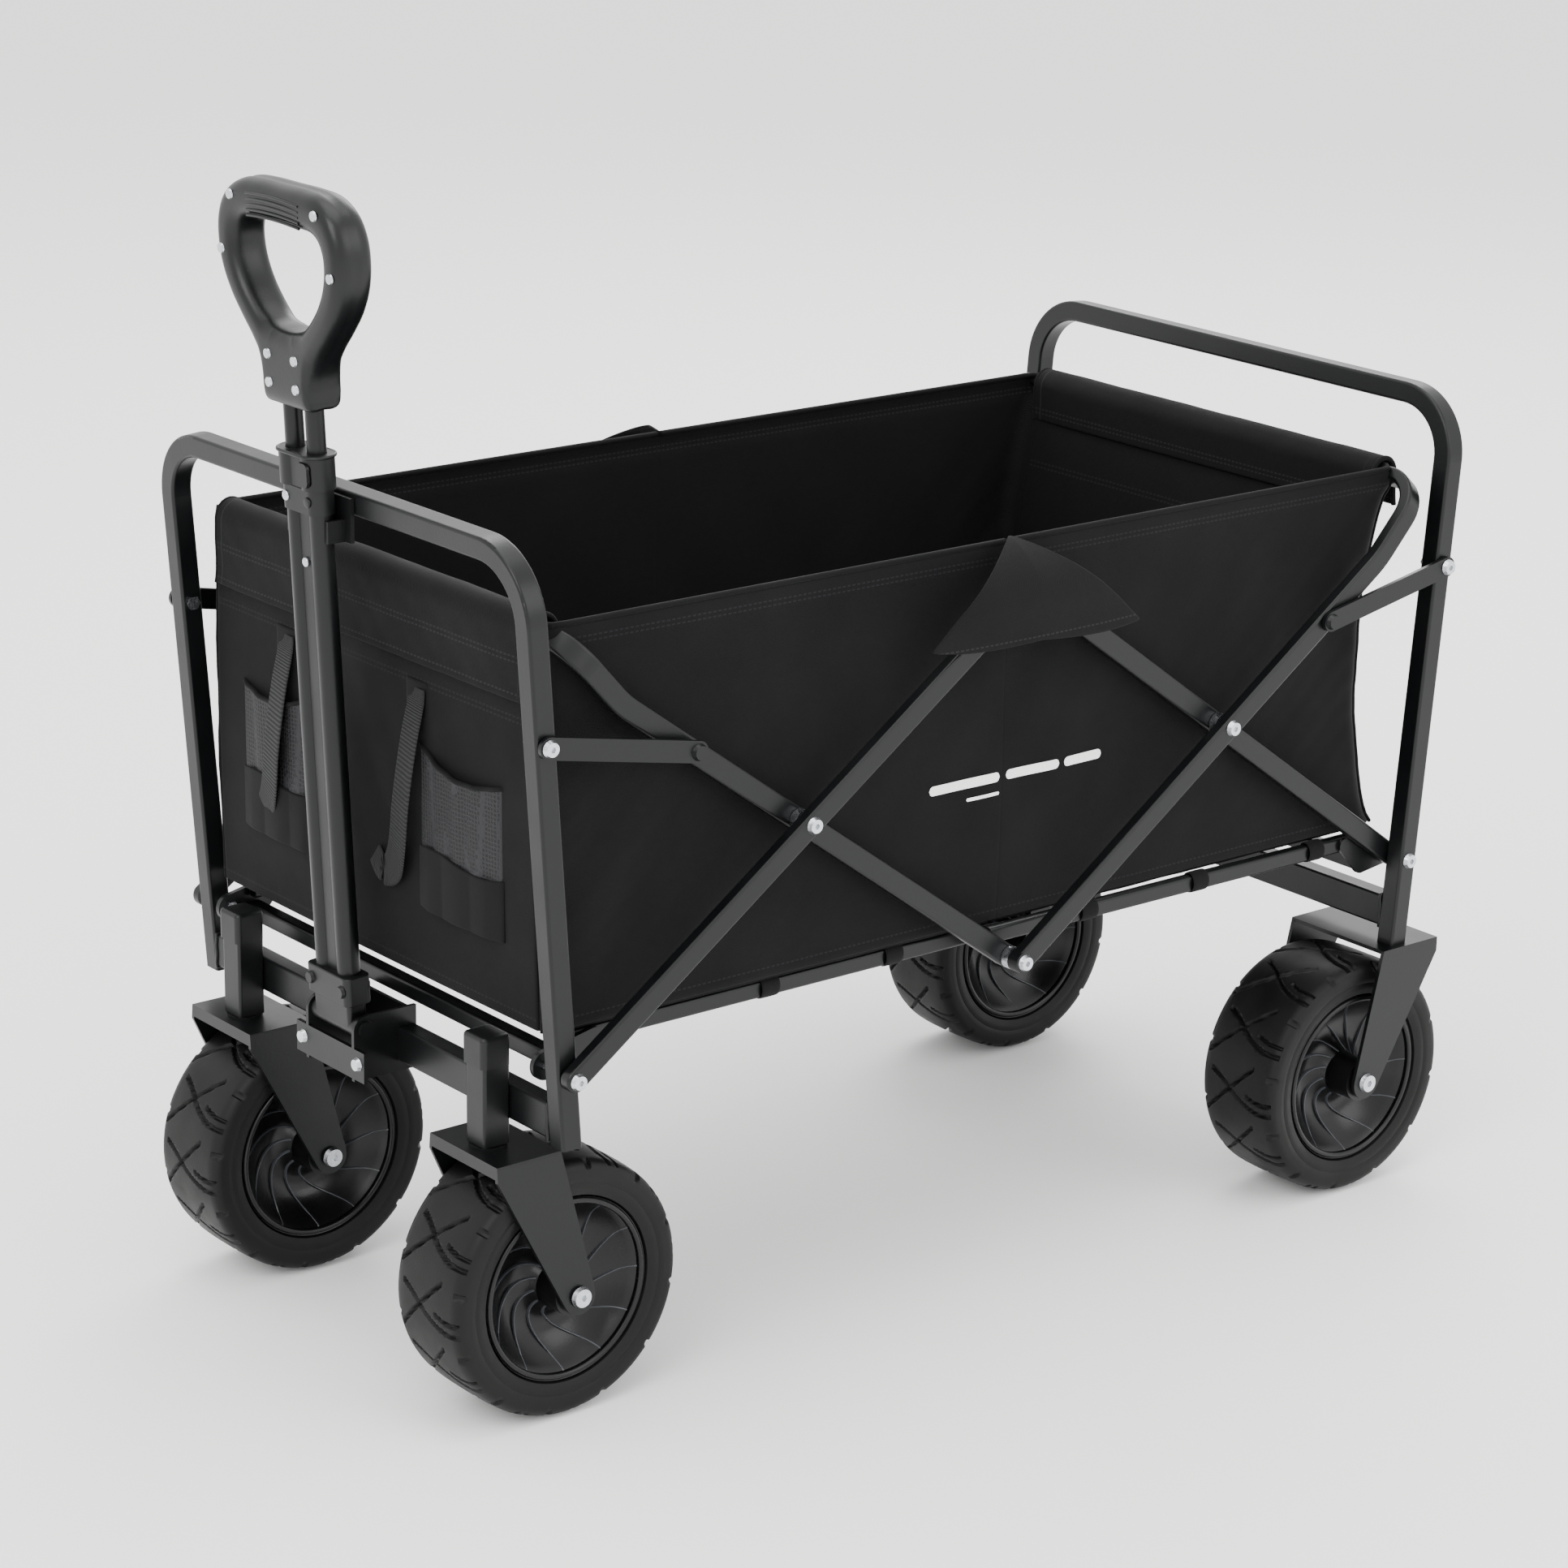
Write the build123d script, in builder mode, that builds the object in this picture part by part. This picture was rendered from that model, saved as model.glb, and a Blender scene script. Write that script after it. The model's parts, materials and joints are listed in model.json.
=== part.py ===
"""Collapsible four-wheel wagon with a pull handle, modelled at full size in millimetres.

+X points forward, to the handle, +Y to the wagon's left and +Z up.
The origin is on the ground, under the middle of the wagon's overall box.
"""

import math
import os

from build123d import *

# Scissor frame
strut_half = 238.0  # pivot to pivot, from an end of a strut to its crossing
open_angle = 35.5  # slope of the struts with the wagon open
frame_lean = 4.4  # outward lean of both end frames
pivot_height = 262.0
front_x = 376.8  # lower front pivot, measured from the origin

# Steel sections
leg_size = 16.0
strut_width = 16.0
strut_depth = 10.0
tube_wall = 1.4
corner_radius = 2.2
rail_height = 12.0
rail_width = 9.0

# Layers across the wagon: distances from its centre plane
inner_strut_y = 211.0
outer_strut_y = 228.0
front_leg_y = 214.0
rear_leg_y = 225.0
fabric_y = 200.5
front_rail_y = 188.0
rear_rail_y = 198.0

# Wheels
wheel_radius = 92.5
tyre_width = 76.0
rim_radius = 66.0
hub_half = 44.0
axle_radius = 5.0
caster_y = 152.0
caster_x = 15.0  # swivel axis ahead of the lower front pivot
caster_trail = 40.0
rear_wheel_y = 189.0
rear_axle_x = 37.0  # ahead of the lower rear pivot
plate_top = 196.0
sheet = 3.0

# Handle
handle_lean = 3.0
handle_pivot_x = 31.0  # ahead of the lower front pivot
handle_pivot_z = 243.0
tube_spacing = 26.0
outer_tube_radius = 8.0
outer_tube_bore = 6.8
inner_tube_radius = 6.5
grip_bottom = 432.0
grip_top = 578.0

# Fasteners and fits
bolt_radius = 3.0
head_radius = 6.0
head_height = 3.0
nut_height = 2.2
running_gap = 0.1
open_gap = 0.35
face_gap = 0.4
fabric = 3.0

rise = 2 * strut_half * math.sin(math.radians(open_angle))
quarter_span = strut_half * math.cos(math.radians(open_angle))
span = 4 * quarter_span
rear_x = front_x - span
middle_x = front_x - span / 2
crossing_z = pivot_height + rise / 2
top_z = pivot_height + rise
lean = math.radians(frame_lean)
frame_top = 350.0  # along the leaning leg, from its pivot to the top bar's centre
bar_offset = Vector(-4, 0, 14.5)  # hoop bar's centre from the point above the lower pivot
link_leg = (17.6, 227.3)  # link bolt on the leg, from the lower pivot
link_strut = strut_half + 113.3  # link bolt on the hoop's arm, from its lower end

os.makedirs("parts", exist_ok=True)


def save(builder, label):
    builder.part.label = label
    export_step(builder.part, f"parts/{label}.step")


def across(x, y, z, side=1):
    """A plane across the wagon: its normal points outwards, and local y is +Z on the right side
    and -Z on the left, so heights are multiplied by -side."""
    return Plane(origin=(x, side * y, z), x_dir=(1, 0, 0), z_dir=(0, side, 0))


def disc(x, z, side, start, end, radius, mode=Mode.ADD):
    """A round solid along Y, from start to end, both measured from the centre plane."""
    with BuildSketch(across(x, start, z, side)) as round_face:
        Circle(radius)
    extrude(round_face.sketch, amount=end - start, mode=mode)


def box(low, high, mode=Mode.ADD):
    centre = [(a + b) / 2 for a, b in zip(low, high)]
    size = [b - a for a, b in zip(low, high)]
    with Locations(tuple(centre)):
        Box(*size, mode=mode)


def bolt(x, z, side, nut_face, head_face, radius=bolt_radius, head=head_radius):
    """A bolt along Y: domed head with a hex socket outside, nut inside."""
    disc(x, z, side, nut_face, head_face, radius)
    with BuildSketch(across(x, head_face, z, side)) as dome:
        Circle(head)
    extrude(dome.sketch, amount=head_height, taper=22)
    with BuildSketch(across(x, head_face + head_height, z, side)) as socket:
        RegularPolygon(head * 0.36, 6)
    extrude(socket.sketch, amount=-1.8, mode=Mode.SUBTRACT)
    with BuildSketch(across(x, nut_face, z, side)) as nut:
        RegularPolygon(radius * 1.75, 6)
    extrude(nut.sketch, amount=-nut_height)


def tube_section(plane, width, height):
    with BuildSketch(plane) as ring:
        RectangleRounded(width, height, corner_radius)
        RectangleRounded(
            width - 2 * tube_wall, height - 2 * tube_wall, corner_radius / 2, mode=Mode.SUBTRACT
        )
    return ring.sketch


def leaning_plane(x, outward):
    """The plane of an end frame: local x along +Y, local y up the leaning leg."""
    tilt = outward * math.sin(lean)
    return Plane(origin=(x, 0, pivot_height), x_dir=(0, 1, 0), z_dir=(math.cos(lean), 0, -tilt))


# End frames: one bent square tube each, standing on both legs
def end_frame(label, x, outward, leg_y, leg_bottom, bolt_holes):
    plane = leaning_plane(x, outward)
    foot = leg_bottom - pivot_height - 12
    with BuildPart() as frame:
        with BuildLine(plane) as path:
            FilletPolyline(
                (leg_y, foot), (leg_y, frame_top), (-leg_y, frame_top), (-leg_y, foot), radius=44
            )
        start = path.line @ 0
        end = Plane(origin=start, x_dir=(0, 1, 0), z_dir=path.line % 0)
        sweep(tube_section(end, leg_size, leg_size), path=path.line)
        split(bisect_by=Plane.XY.offset(leg_bottom), keep=Keep.TOP)
        for side in (1, -1):
            for hole_x, hole_z in bolt_holes:
                inner = leg_y - leg_size
                disc(hole_x, hole_z, side, inner, inner + 2 * leg_size, bolt_radius + running_gap,
                     mode=Mode.SUBTRACT)
    save(frame, label)


link_front_bolt = (front_x + link_leg[0], pivot_height + link_leg[1])
link_rear_bolt = (rear_x - link_leg[0], pivot_height + link_leg[1])
leg_bottom = 210.0
end_frame("front_u_frame", front_x, 1, front_leg_y, leg_bottom,
          [(front_x, pivot_height), link_front_bolt])
end_frame("rear_u_frame", rear_x, -1, rear_leg_y, plate_top,
          [(rear_x, pivot_height), link_rear_bolt])

# Crossbars between the legs, welded to them
crossbar_height = 25.0
crossbar_z = 226.5
crossbar_depth = 15.0
cheek_y = 30.0


def crossbar(label, x, low_z, spans):
    with BuildPart() as bar:
        for start, end in spans:
            with BuildSketch(across(x, start, low_z)):
                RectangleRounded(crossbar_depth, crossbar_height, corner_radius)
                RectangleRounded(crossbar_depth - 2 * tube_wall, crossbar_height - 2 * tube_wall,
                                 corner_radius / 2, mode=Mode.SUBTRACT)
            extrude(amount=end - start)
    save(bar, label)


front_inner = front_leg_y - leg_size / 2
rear_inner = rear_leg_y - leg_size / 2
crossbar_x = front_x - 3.0
crossbar_front = crossbar_x + crossbar_depth / 2
crossbar("front_crossbar", crossbar_x, crossbar_z,
         [(-front_inner, -cheek_y), (cheek_y, front_inner)])
crossbar("rear_crossbar", rear_x + 3.0, 220.0, [(-rear_inner, rear_inner)])

# Handle bracket: a folded channel between the crossbar halves, open upwards
pivot_x = front_x + handle_pivot_x
bracket_low = 207.0
bracket_back = crossbar_x - crossbar_depth / 2
cheek_radius = 9.5
front_plate_top = 231.0
with BuildPart() as bracket:
    for side in (1, -1):
        with BuildSketch(across(pivot_x, cheek_y - sheet, handle_pivot_z, side)):
            Circle(cheek_radius)
            with BuildLine():
                Polyline((bracket_back - pivot_x, -side * cheek_radius),
                         (0, -side * cheek_radius), (cheek_radius, 0),
                         (cheek_radius, side * (handle_pivot_z - bracket_low)),
                         (bracket_back - pivot_x, side * (handle_pivot_z - bracket_low)),
                         close=True)
            make_face()
        extrude(amount=sheet)
    box((bracket_back, -cheek_y + sheet, bracket_low),
        (bracket_back + sheet, cheek_y - sheet, handle_pivot_z + 6))
    plate_x = pivot_x + cheek_radius
    box((plate_x - sheet, -42, bracket_low + 2), (plate_x, 42, front_plate_top))
    for side in (1, -1):
        disc(pivot_x, handle_pivot_z, side, 20, 40, 4 + running_gap, mode=Mode.SUBTRACT)
save(bracket, "handle_bracket")

# Caster posts welded to the front of the crossbar, with plastic caps
post_width = 22.0
post_x = front_x + caster_x
post_depth = 2 * (post_x - crossbar_front)
post_bottom = 198.0
post_top = 254.0
kingpin_radius = 6.0
with BuildPart() as posts:
    for side in (1, -1):
        with BuildSketch(Plane.XY.offset(post_bottom)):
            with Locations((post_x, side * caster_y)):
                RectangleRounded(post_depth, post_width, corner_radius)
        extrude(amount=post_top - post_bottom)
        with BuildSketch(Plane.XY.offset(post_bottom)):
            with Locations((post_x, side * caster_y)):
                Circle(kingpin_radius + running_gap)
        extrude(amount=42, mode=Mode.SUBTRACT)
save(posts, "caster_posts")

with BuildPart() as post_caps:
    for side in (1, -1):
        with BuildSketch(Plane.XY.offset(post_top)):
            with Locations((post_x + 1.0, side * caster_y)):
                RectangleRounded(post_depth + 2, post_width + 3, 4)
        extrude(amount=22)
    fillet(post_caps.edges().group_by(Axis.Z)[-1], 3)
save(post_caps, "caster_post_caps")

# Storage clip on the top bar, open forwards: the handle's twin tube lies between its arms
top_bar_z = pivot_height + frame_top * math.cos(lean)
top_bar_face = front_x + frame_top * math.sin(lean) + leg_size / 2
clip_arm_y = outer_tube_radius + tube_spacing / 2 + 0.6
with BuildPart() as clip:
    box((top_bar_face + 0.6, -25, top_bar_z - 26), (top_bar_face + 3.6, 31, top_bar_z + 4))
    for side in (1, -1):
        low_y = clip_arm_y if side == 1 else -clip_arm_y - 3
        box((top_bar_face + 3.6, low_y, top_bar_z - 26),
            (top_bar_face + 17, low_y + 3, top_bar_z - 11))
save(clip, "handle_clip")

# Bolts that belong to the front frame: two strut pivots, two link bolts, two bracket bolts
outer_face = outer_strut_y + strut_depth / 2
base_plate_inner = front_rail_y + rail_width / 2
link_thickness = 3.0
link_front_y = front_leg_y + leg_size / 2 + 1.0
link_rear_y = outer_face + 1.0
with BuildPart() as front_bolts:
    for side in (1, -1):
        bolt(front_x, pivot_height, side, base_plate_inner - face_gap, outer_face + face_gap)
        bolt(*link_front_bolt, side, front_inner - face_gap,
             link_front_y + link_thickness + face_gap)
        with BuildSketch(Plane(origin=(plate_x, side * 34, 221), x_dir=(0, 1, 0), z_dir=(1, 0, 0))):
            Circle(5)
        extrude(amount=2.6, taper=22)
save(front_bolts, "front_frame_bolts")

rear_plate_outer = rear_rail_y + rail_width / 2 + 2.7
with BuildPart() as rear_bolts:
    for side in (1, -1):
        bolt(rear_x, pivot_height, side, rear_rail_y + rail_width / 2 - face_gap,
             outer_face + face_gap)
        bolt(*link_rear_bolt, side, rear_inner - face_gap,
             link_rear_y + link_thickness + face_gap)
save(rear_bolts, "rear_frame_bolts")


# Lower struts: flat-sided tubes with round ends, from a lower pivot to the middle top joint
def strut(label, side, lower_x, y, holes):
    lower = Vector(lower_x, side * y, pivot_height)
    upper = Vector(middle_x, side * y, top_z)
    plane = Plane(origin=(lower + upper) / 2, x_dir=(upper - lower).normalized(), z_dir=(0, 1, 0))
    with BuildPart() as bar:
        with BuildSketch(plane):
            SlotCenterToCenter(2 * strut_half, strut_width)
        extrude(amount=strut_depth / 2, both=True)
        fillet(bar.faces().filter_by(Axis.Y).edges(), corner_radius)
        with BuildSketch(plane):
            SlotCenterToCenter(2 * strut_half, strut_width - 2 * tube_wall)
        extrude(amount=strut_depth / 2 - tube_wall, both=True, mode=Mode.SUBTRACT)
        for place, gap in holes:
            with BuildSketch(plane):
                with Locations((place * strut_half, 0)):
                    Circle(bolt_radius + gap)
            extrude(amount=strut_depth, both=True, mode=Mode.SUBTRACT)
    save(bar, label)


for side, name in ((1, "left"), (-1, "right")):
    strut(f"front_strut_{name}", side, front_x, outer_strut_y,
          [(-1, running_gap), (0, running_gap), (1, running_gap)])
    crossing_gap = running_gap if side == 1 else open_gap
    strut(f"rear_strut_{name}", side, rear_x, inner_strut_y,
          [(-1, crossing_gap), (0, crossing_gap), (1, running_gap)])

# Bolts and spacers that ride on the front struts: the crossing and the middle top joint
inner_face = inner_strut_y - strut_depth / 2
spacer_low = inner_strut_y + strut_depth / 2 + face_gap
spacer_high = outer_strut_y - strut_depth / 2
nut_face = inner_face - 0.2
for side, name in ((1, "left"), (-1, "right")):
    with BuildPart() as strut_bolts:
        for x, z in ((front_x - quarter_span, crossing_z), (middle_x, top_z)):
            bolt(x, z, side, nut_face, outer_face)
            disc(x, z, side, spacer_low, spacer_high, 8)
    save(strut_bolts, f"front_strut_bolts_{name}")

with BuildPart() as hoop_bolts:
    for side in (1, -1):
        for x, z in ((rear_x + quarter_span, crossing_z), (middle_x, pivot_height)):
            bolt(x, z, side, nut_face, outer_face)
            disc(x, z, side, spacer_low, spacer_high, 8)
save(hoop_bolts, "rear_hoop_bolts")


# Hoops: one bent tube each, with two arms and the bar that carries the tub's end
def hoop(label, forward, arm_y, end_x, hole_gaps):
    top = Vector(end_x + forward * bar_offset.X, 0, top_z + bar_offset.Z)
    slope = Vector(forward * math.cos(math.radians(open_angle)), 0,
                   math.sin(math.radians(open_angle)))
    lower = Vector(middle_x, 0, pivot_height)
    knee = lower + slope * (2 * strut_half - 60)
    out = Vector(0, arm_y, 0)
    with BuildPart() as bent:
        with BuildLine() as path:
            FilletPolyline(lower + out, knee + out, top + out, top - out, knee - out, lower - out,
                           radius=(70, 30, 30, 70))
        end = Plane(origin=lower + out, x_dir=(0, 1, 0), z_dir=slope)
        sweep(tube_section(end, strut_depth, strut_width), path=path.line)
        for side in (1, -1):
            disc(middle_x, pivot_height, side, arm_y - strut_depth / 2, arm_y + strut_depth / 2,
                 strut_width / 2)
            for place, gap in zip((0, strut_half), hole_gaps):
                spot = lower + slope * place
                hole = gap if side == 1 or gap == open_gap else open_gap
                disc(spot.X, spot.Z, side, arm_y - strut_depth, arm_y + strut_depth,
                     bolt_radius + hole, mode=Mode.SUBTRACT)
    save(bent, label)


hoop("front_hoop", 1, inner_strut_y, front_x, (open_gap, running_gap))
hoop("rear_hoop", -1, outer_strut_y, rear_x, (running_gap, running_gap))


# Links between the legs and the hoops' arms, each with its rivet to the arm
def link(label, side, leg_point, forward, low_y, rivet_low):
    arm = math.radians(open_angle)
    strut_x = middle_x + forward * link_strut * math.cos(arm)
    strut_z = pivot_height + link_strut * math.sin(arm)
    start = Vector(leg_point[0], 0, leg_point[1])
    end = Vector(strut_x, 0, strut_z)
    middle = (start + end) / 2 + Vector(0, side * low_y, 0)
    plane = Plane(origin=middle, x_dir=(end - start).normalized(), z_dir=(0, side, 0))
    length = (end - start).length
    with BuildPart() as bar:
        with BuildSketch(plane):
            SlotCenterToCenter(length, 15)
            with Locations((-length / 2, 0)):
                Circle(bolt_radius + running_gap, mode=Mode.SUBTRACT)
        extrude(amount=link_thickness)
        disc(strut_x, strut_z, side, rivet_low, low_y, 6)
        with BuildSketch(across(strut_x, low_y + link_thickness, strut_z, side)):
            Circle(head_radius)
        extrude(amount=head_height, taper=22)
    save(bar, label)


for side, name in ((1, "left"), (-1, "right")):
    link(f"front_link_{name}", side, link_front_bolt, 1, link_front_y, spacer_low)
    link(f"rear_link_{name}", side, link_rear_bolt, -1, link_rear_y, outer_face + face_gap)


# Base frames: hinged on the lower pivots' axes, they carry the two halves of the floor
rail_z = 274.0
cross_z = 257.0


def base_frame(label, pivot, rearward, rail_y, plate_y, plate_thickness):
    reach = span / 2 + 6
    ends = sorted((pivot + rearward * 16, pivot + rearward * reach))
    with BuildPart() as base:
        for side in (1, -1):
            plane = Plane(origin=(ends[0], side * rail_y, rail_z), x_dir=(0, 1, 0), z_dir=(1, 0, 0))
            extrude(tube_section(plane, rail_width, rail_height), amount=ends[1] - ends[0])
            with BuildSketch(across(pivot, plate_y, pivot_height, side)):
                Circle(10)
                with Locations((rearward * 22, side * (pivot_height - cross_z))):
                    Circle(8)
                with Locations((rearward * 40, side * (pivot_height - rail_z))):
                    Circle(6)
                make_hull()
                Circle(bolt_radius + (running_gap if side == 1 else open_gap), mode=Mode.SUBTRACT)
            extrude(amount=plate_thickness)
        for distance, height in ((20, cross_z), (300, rail_z)):
            inner = rail_y - rail_width / 2 if height == rail_z else plate_y
            x = pivot + rearward * distance
            with BuildSketch(across(x, -inner, height)):
                RectangleRounded(rail_height, rail_height, corner_radius)
                RectangleRounded(rail_height - 2 * tube_wall, rail_height - 2 * tube_wall,
                                 corner_radius / 2, mode=Mode.SUBTRACT)
            extrude(amount=2 * inner)
    save(base, label)


base_frame("base_front_frame", front_x, -1, front_rail_y, base_plate_inner, 4)
base_frame("base_rear_frame", rear_x, 1, rear_rail_y, rear_rail_y + rail_width / 2, 2.7)

# Floor: a stiffened fabric panel on each base frame, short of the middle so that both can rise
floor_low = rail_z + rail_height / 2 + 0.3
floor_high = floor_low + 6.5
floor_half = 182.5
floor_reach = 353.0
for label, near, far in (("floor_front", front_x - floor_reach, front_x - 14),
                         ("floor_rear", rear_x + 14, rear_x + floor_reach)):
    with BuildPart() as floor:
        box((near, -floor_half, floor_low), (far, floor_half, floor_high))
        fillet(floor.edges().filter_by(Axis.Z), 6)
    save(floor, label)

# Tub: end panels hung from the hoops' bars, and side panels split at the middle
panel_half = 194.0
flap_half = 184.0
panel_low = floor_high + 1
bar_x = bar_offset.X
bar_z = top_z + bar_offset.Z
flap_clear = 10.0
pocket_low = 341.0
pocket_high = 455.0


def end_x(x, forward, *distances):
    return sorted(x + forward * d for d in distances)


for label, x, forward in (("front_panel", front_x, 1), ("rear_panel", rear_x, -1)):
    low, high = end_x(x, forward, 1, 1 + fabric)
    with BuildPart() as panel:
        box((low, -panel_half, panel_low), (high, panel_half, bar_z - flap_clear - 1.5))
    save(panel, label)

for label, x, forward, skirt in (("front_flap", front_x, 1, 508.0), ("rear_flap", rear_x, -1, 530.0)):
    centre = x + forward * bar_x
    outside = flap_clear + fabric
    with BuildPart() as flap:
        low, high = end_x(centre, forward, -outside, outside)
        box((low, -flap_half, bar_z + flap_clear), (high, flap_half, bar_z + outside))
        low, high = end_x(centre, forward, flap_clear, outside)
        box((low, -flap_half, skirt), (high, flap_half, bar_z + flap_clear))
        low, high = end_x(centre, forward, -outside, -flap_clear)
        box((low, -flap_half, 530.0), (high, flap_half, bar_z + flap_clear))
    save(flap, label)

with BuildPart() as pockets:
    for side in (1, -1):
        y_low, y_high = sorted((side * 64.0, side * 165.0))
        box((front_x + 1 + fabric, y_low, pocket_low), (front_x + 10, y_high, pocket_high))
    fillet(pockets.edges().filter_by(Axis.X), 8)
save(pockets, "bottle_pockets")

side_top = bar_z + 8
for label, near, far in (("side_panels_front", middle_x + 0.3, front_x - 20),
                         ("side_panels_rear", rear_x + 20, middle_x - 0.3)):
    with BuildPart() as sides:
        for side in (1, -1):
            low_y, high_y = sorted((side * (fabric_y - 1.5), side * (fabric_y + 1.5)))
            box((near, low_y, panel_low), (far, high_y, side_top))
    save(sides, label)

# Fabric caps over the middle top joints
cap_y = 239.0
for side, name in ((1, "left"), (-1, "right")):
    with BuildPart() as cap:
        with BuildSketch(across(middle_x, cap_y, top_z, side)):
            with BuildLine():
                FilletPolyline((-84, side * 42), (92, side * 38), (6, -side * 27),
                               (-6, -side * 27), close=True, radius=5)
            make_face()
        extrude(amount=2)
    save(cap, f"top_cap_{name}")

# Wheels: foam tyre on a dished rim with a hub
tyre_half = tyre_width / 2
shoulder = 15.0


def wheel(corner, x, y):
    with BuildPart() as tyre:
        with BuildSketch(Plane(origin=(x, y, wheel_radius), x_dir=(0, 1, 0), z_dir=(1, 0, 0))):
            with BuildLine():
                FilletPolyline((-tyre_half + 4, rim_radius), (-tyre_half, 78), (-tyre_half + 3, 88),
                               (-12, wheel_radius), (12, wheel_radius), (tyre_half - 3, 88),
                               (tyre_half, 78), (tyre_half - 4, rim_radius), close=True,
                               radius=3)
            make_face()
        revolve(axis=Axis((x, y, wheel_radius), (0, 1, 0)))
    save(tyre, f"tyre_{corner}")
    sections = (
        [(-34, 65.4), (34, 65.4), (32, 61), (12, 57), (-12, 57), (-32, 61)],
        [(-12, 57), (12, 57), (7, 30), (16, 16), (-16, 16), (-7, 30)],
        [(-hub_half, 16), (hub_half, 16), (hub_half, axle_radius + 0.1),
         (-hub_half, axle_radius + 0.1)],
    )
    solids = []
    for section in sections:
        with BuildPart() as ring:
            with BuildSketch(Plane(origin=(x, y, wheel_radius), x_dir=(0, 1, 0), z_dir=(1, 0, 0))):
                with BuildLine():
                    Polyline(*section, close=True)
                make_face()
            revolve(axis=Axis((x, y, wheel_radius), (0, 1, 0)))
        solids.append(ring.part.solid())
    rim = Compound(children=solids, label=f"rim_{corner}")
    export_step(rim, f"parts/rim_{corner}.step")


axle_x = post_x - caster_trail
rear_wheel_x = rear_x + rear_axle_x
for side, name in ((1, "left"), (-1, "right")):
    wheel(f"front_{name}", axle_x, side * caster_y)
    wheel(f"rear_{name}", rear_wheel_x, side * rear_wheel_y)


# Forks: a folded plate over the wheel and two tapered legs to the axle
def fork(x, y, plate_low_x, plate_high_x, plate_half, foot_half, axle):
    """Adds one fork to the open part: plate_half and foot_half are its outer half widths."""
    box((plate_low_x, y - plate_half, plate_top - sheet), (plate_high_x, y + plate_half, plate_top))
    lip = plate_high_x if x < plate_high_x and axle < x else plate_low_x
    lip_ends = sorted((lip, lip - sheet if lip == plate_high_x else lip + sheet))
    box((lip_ends[0], y - plate_half, plate_top - 9), (lip_ends[1], y + plate_half, plate_top))
    drop = plate_top - wheel_radius
    slant = math.hypot(drop, foot_half - plate_half)
    for side in (1, -1):
        down = Vector(0, side * (foot_half - plate_half), -drop).normalized()
        outward = Vector(1, 0, 0).cross(down) * -side
        plane = Plane(origin=(x, y + side * plate_half, plate_top), x_dir=(1, 0, 0),
                      z_dir=outward * side)
        flip = 1 if plane.y_dir.Z < 0 else -1
        with BuildSketch(plane) as leg:
            with Locations(((plate_low_x + plate_high_x) / 2 - x, flip * 6)):
                Rectangle(plate_high_x - plate_low_x, 10)
            with Locations((axle - x, flip * slant)):
                Circle(13)
            make_hull()
        extrude(leg.sketch, amount=-sheet if plane.z_dir.Y * side > 0 else sheet)
    hole = Plane(origin=(axle, y - foot_half - 9, wheel_radius), x_dir=(1, 0, 0), z_dir=(0, 1, 0))
    with BuildSketch(hole) as bore:
        Circle(axle_radius + 0.1)
    extrude(bore.sketch, amount=2 * foot_half + 18, mode=Mode.SUBTRACT)


def axle_bolt(x, y, half):
    for side in (1, -1):
        face = Plane(origin=(x, y + side * half, wheel_radius), x_dir=(1, 0, 0), z_dir=(0, side, 0))
        with BuildSketch(face) as head:
            Circle(7.5)
        extrude(head.sketch, amount=3.2, taper=18)
        with BuildSketch(face.offset(3.2)) as socket:
            RegularPolygon(2.6, 6)
        extrude(socket.sketch, amount=-2, mode=Mode.SUBTRACT)
    rod = Plane(origin=(x, y - half, wheel_radius), x_dir=(1, 0, 0), z_dir=(0, 1, 0))
    with BuildSketch(rod) as shaft:
        Circle(axle_radius)
    extrude(shaft.sketch, amount=2 * half)


front_plate_half = 39.0
front_foot_half = 49.0
for side, name in ((1, "left"), (-1, "right")):
    centre_y = side * caster_y
    with BuildPart() as caster_fork:
        fork(post_x, centre_y, post_x - 32, post_x + 20, front_plate_half, front_foot_half, axle_x)
        with BuildSketch(Plane.XY.offset(plate_top)):
            with Locations((post_x, centre_y)):
                Circle(13)
        extrude(amount=post_bottom - plate_top - face_gap)
        with BuildSketch(Plane.XY.offset(plate_top)):
            with Locations((post_x, centre_y)):
                Circle(kingpin_radius)
        extrude(amount=40)
    save(caster_fork, f"caster_fork_{name}")
    with BuildPart() as front_axle:
        axle_bolt(axle_x, centre_y, front_foot_half + 1.6)
    save(front_axle, f"caster_axle_{name}")

rear_plate_half = 49.0
with BuildPart() as rear_forks:
    for side in (1, -1):
        fork(rear_x - 4, side * rear_wheel_y, rear_x - 32, rear_x + 26, rear_plate_half,
             rear_plate_half + 0.01, rear_wheel_x)
save(rear_forks, "rear_forks")
with BuildPart() as rear_axles:
    for side in (1, -1):
        axle_bolt(rear_wheel_x, side * rear_wheel_y, rear_plate_half + 0.4)
save(rear_axles, "rear_axles")


# Handle: measured along its own leaning axis from its pivot
tilt = math.radians(handle_lean)
handle_up = Vector(math.sin(tilt), 0, math.cos(tilt))
handle_front = Vector(math.cos(tilt), 0, -math.sin(tilt))
handle_pivot = Vector(pivot_x, 0, handle_pivot_z)
tube_y = tube_spacing / 2


def section_at(distance):
    """A plane across the handle: local x forward, local y to the left."""
    return Plane(origin=handle_pivot + handle_up * distance, x_dir=handle_front, z_dir=handle_up)


def face_at(forward):
    """A plane along the handle: local x to the left, local y up the handle."""
    return Plane(origin=handle_pivot + handle_front * forward, x_dir=(0, 1, 0),
                 z_dir=handle_front)


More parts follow.
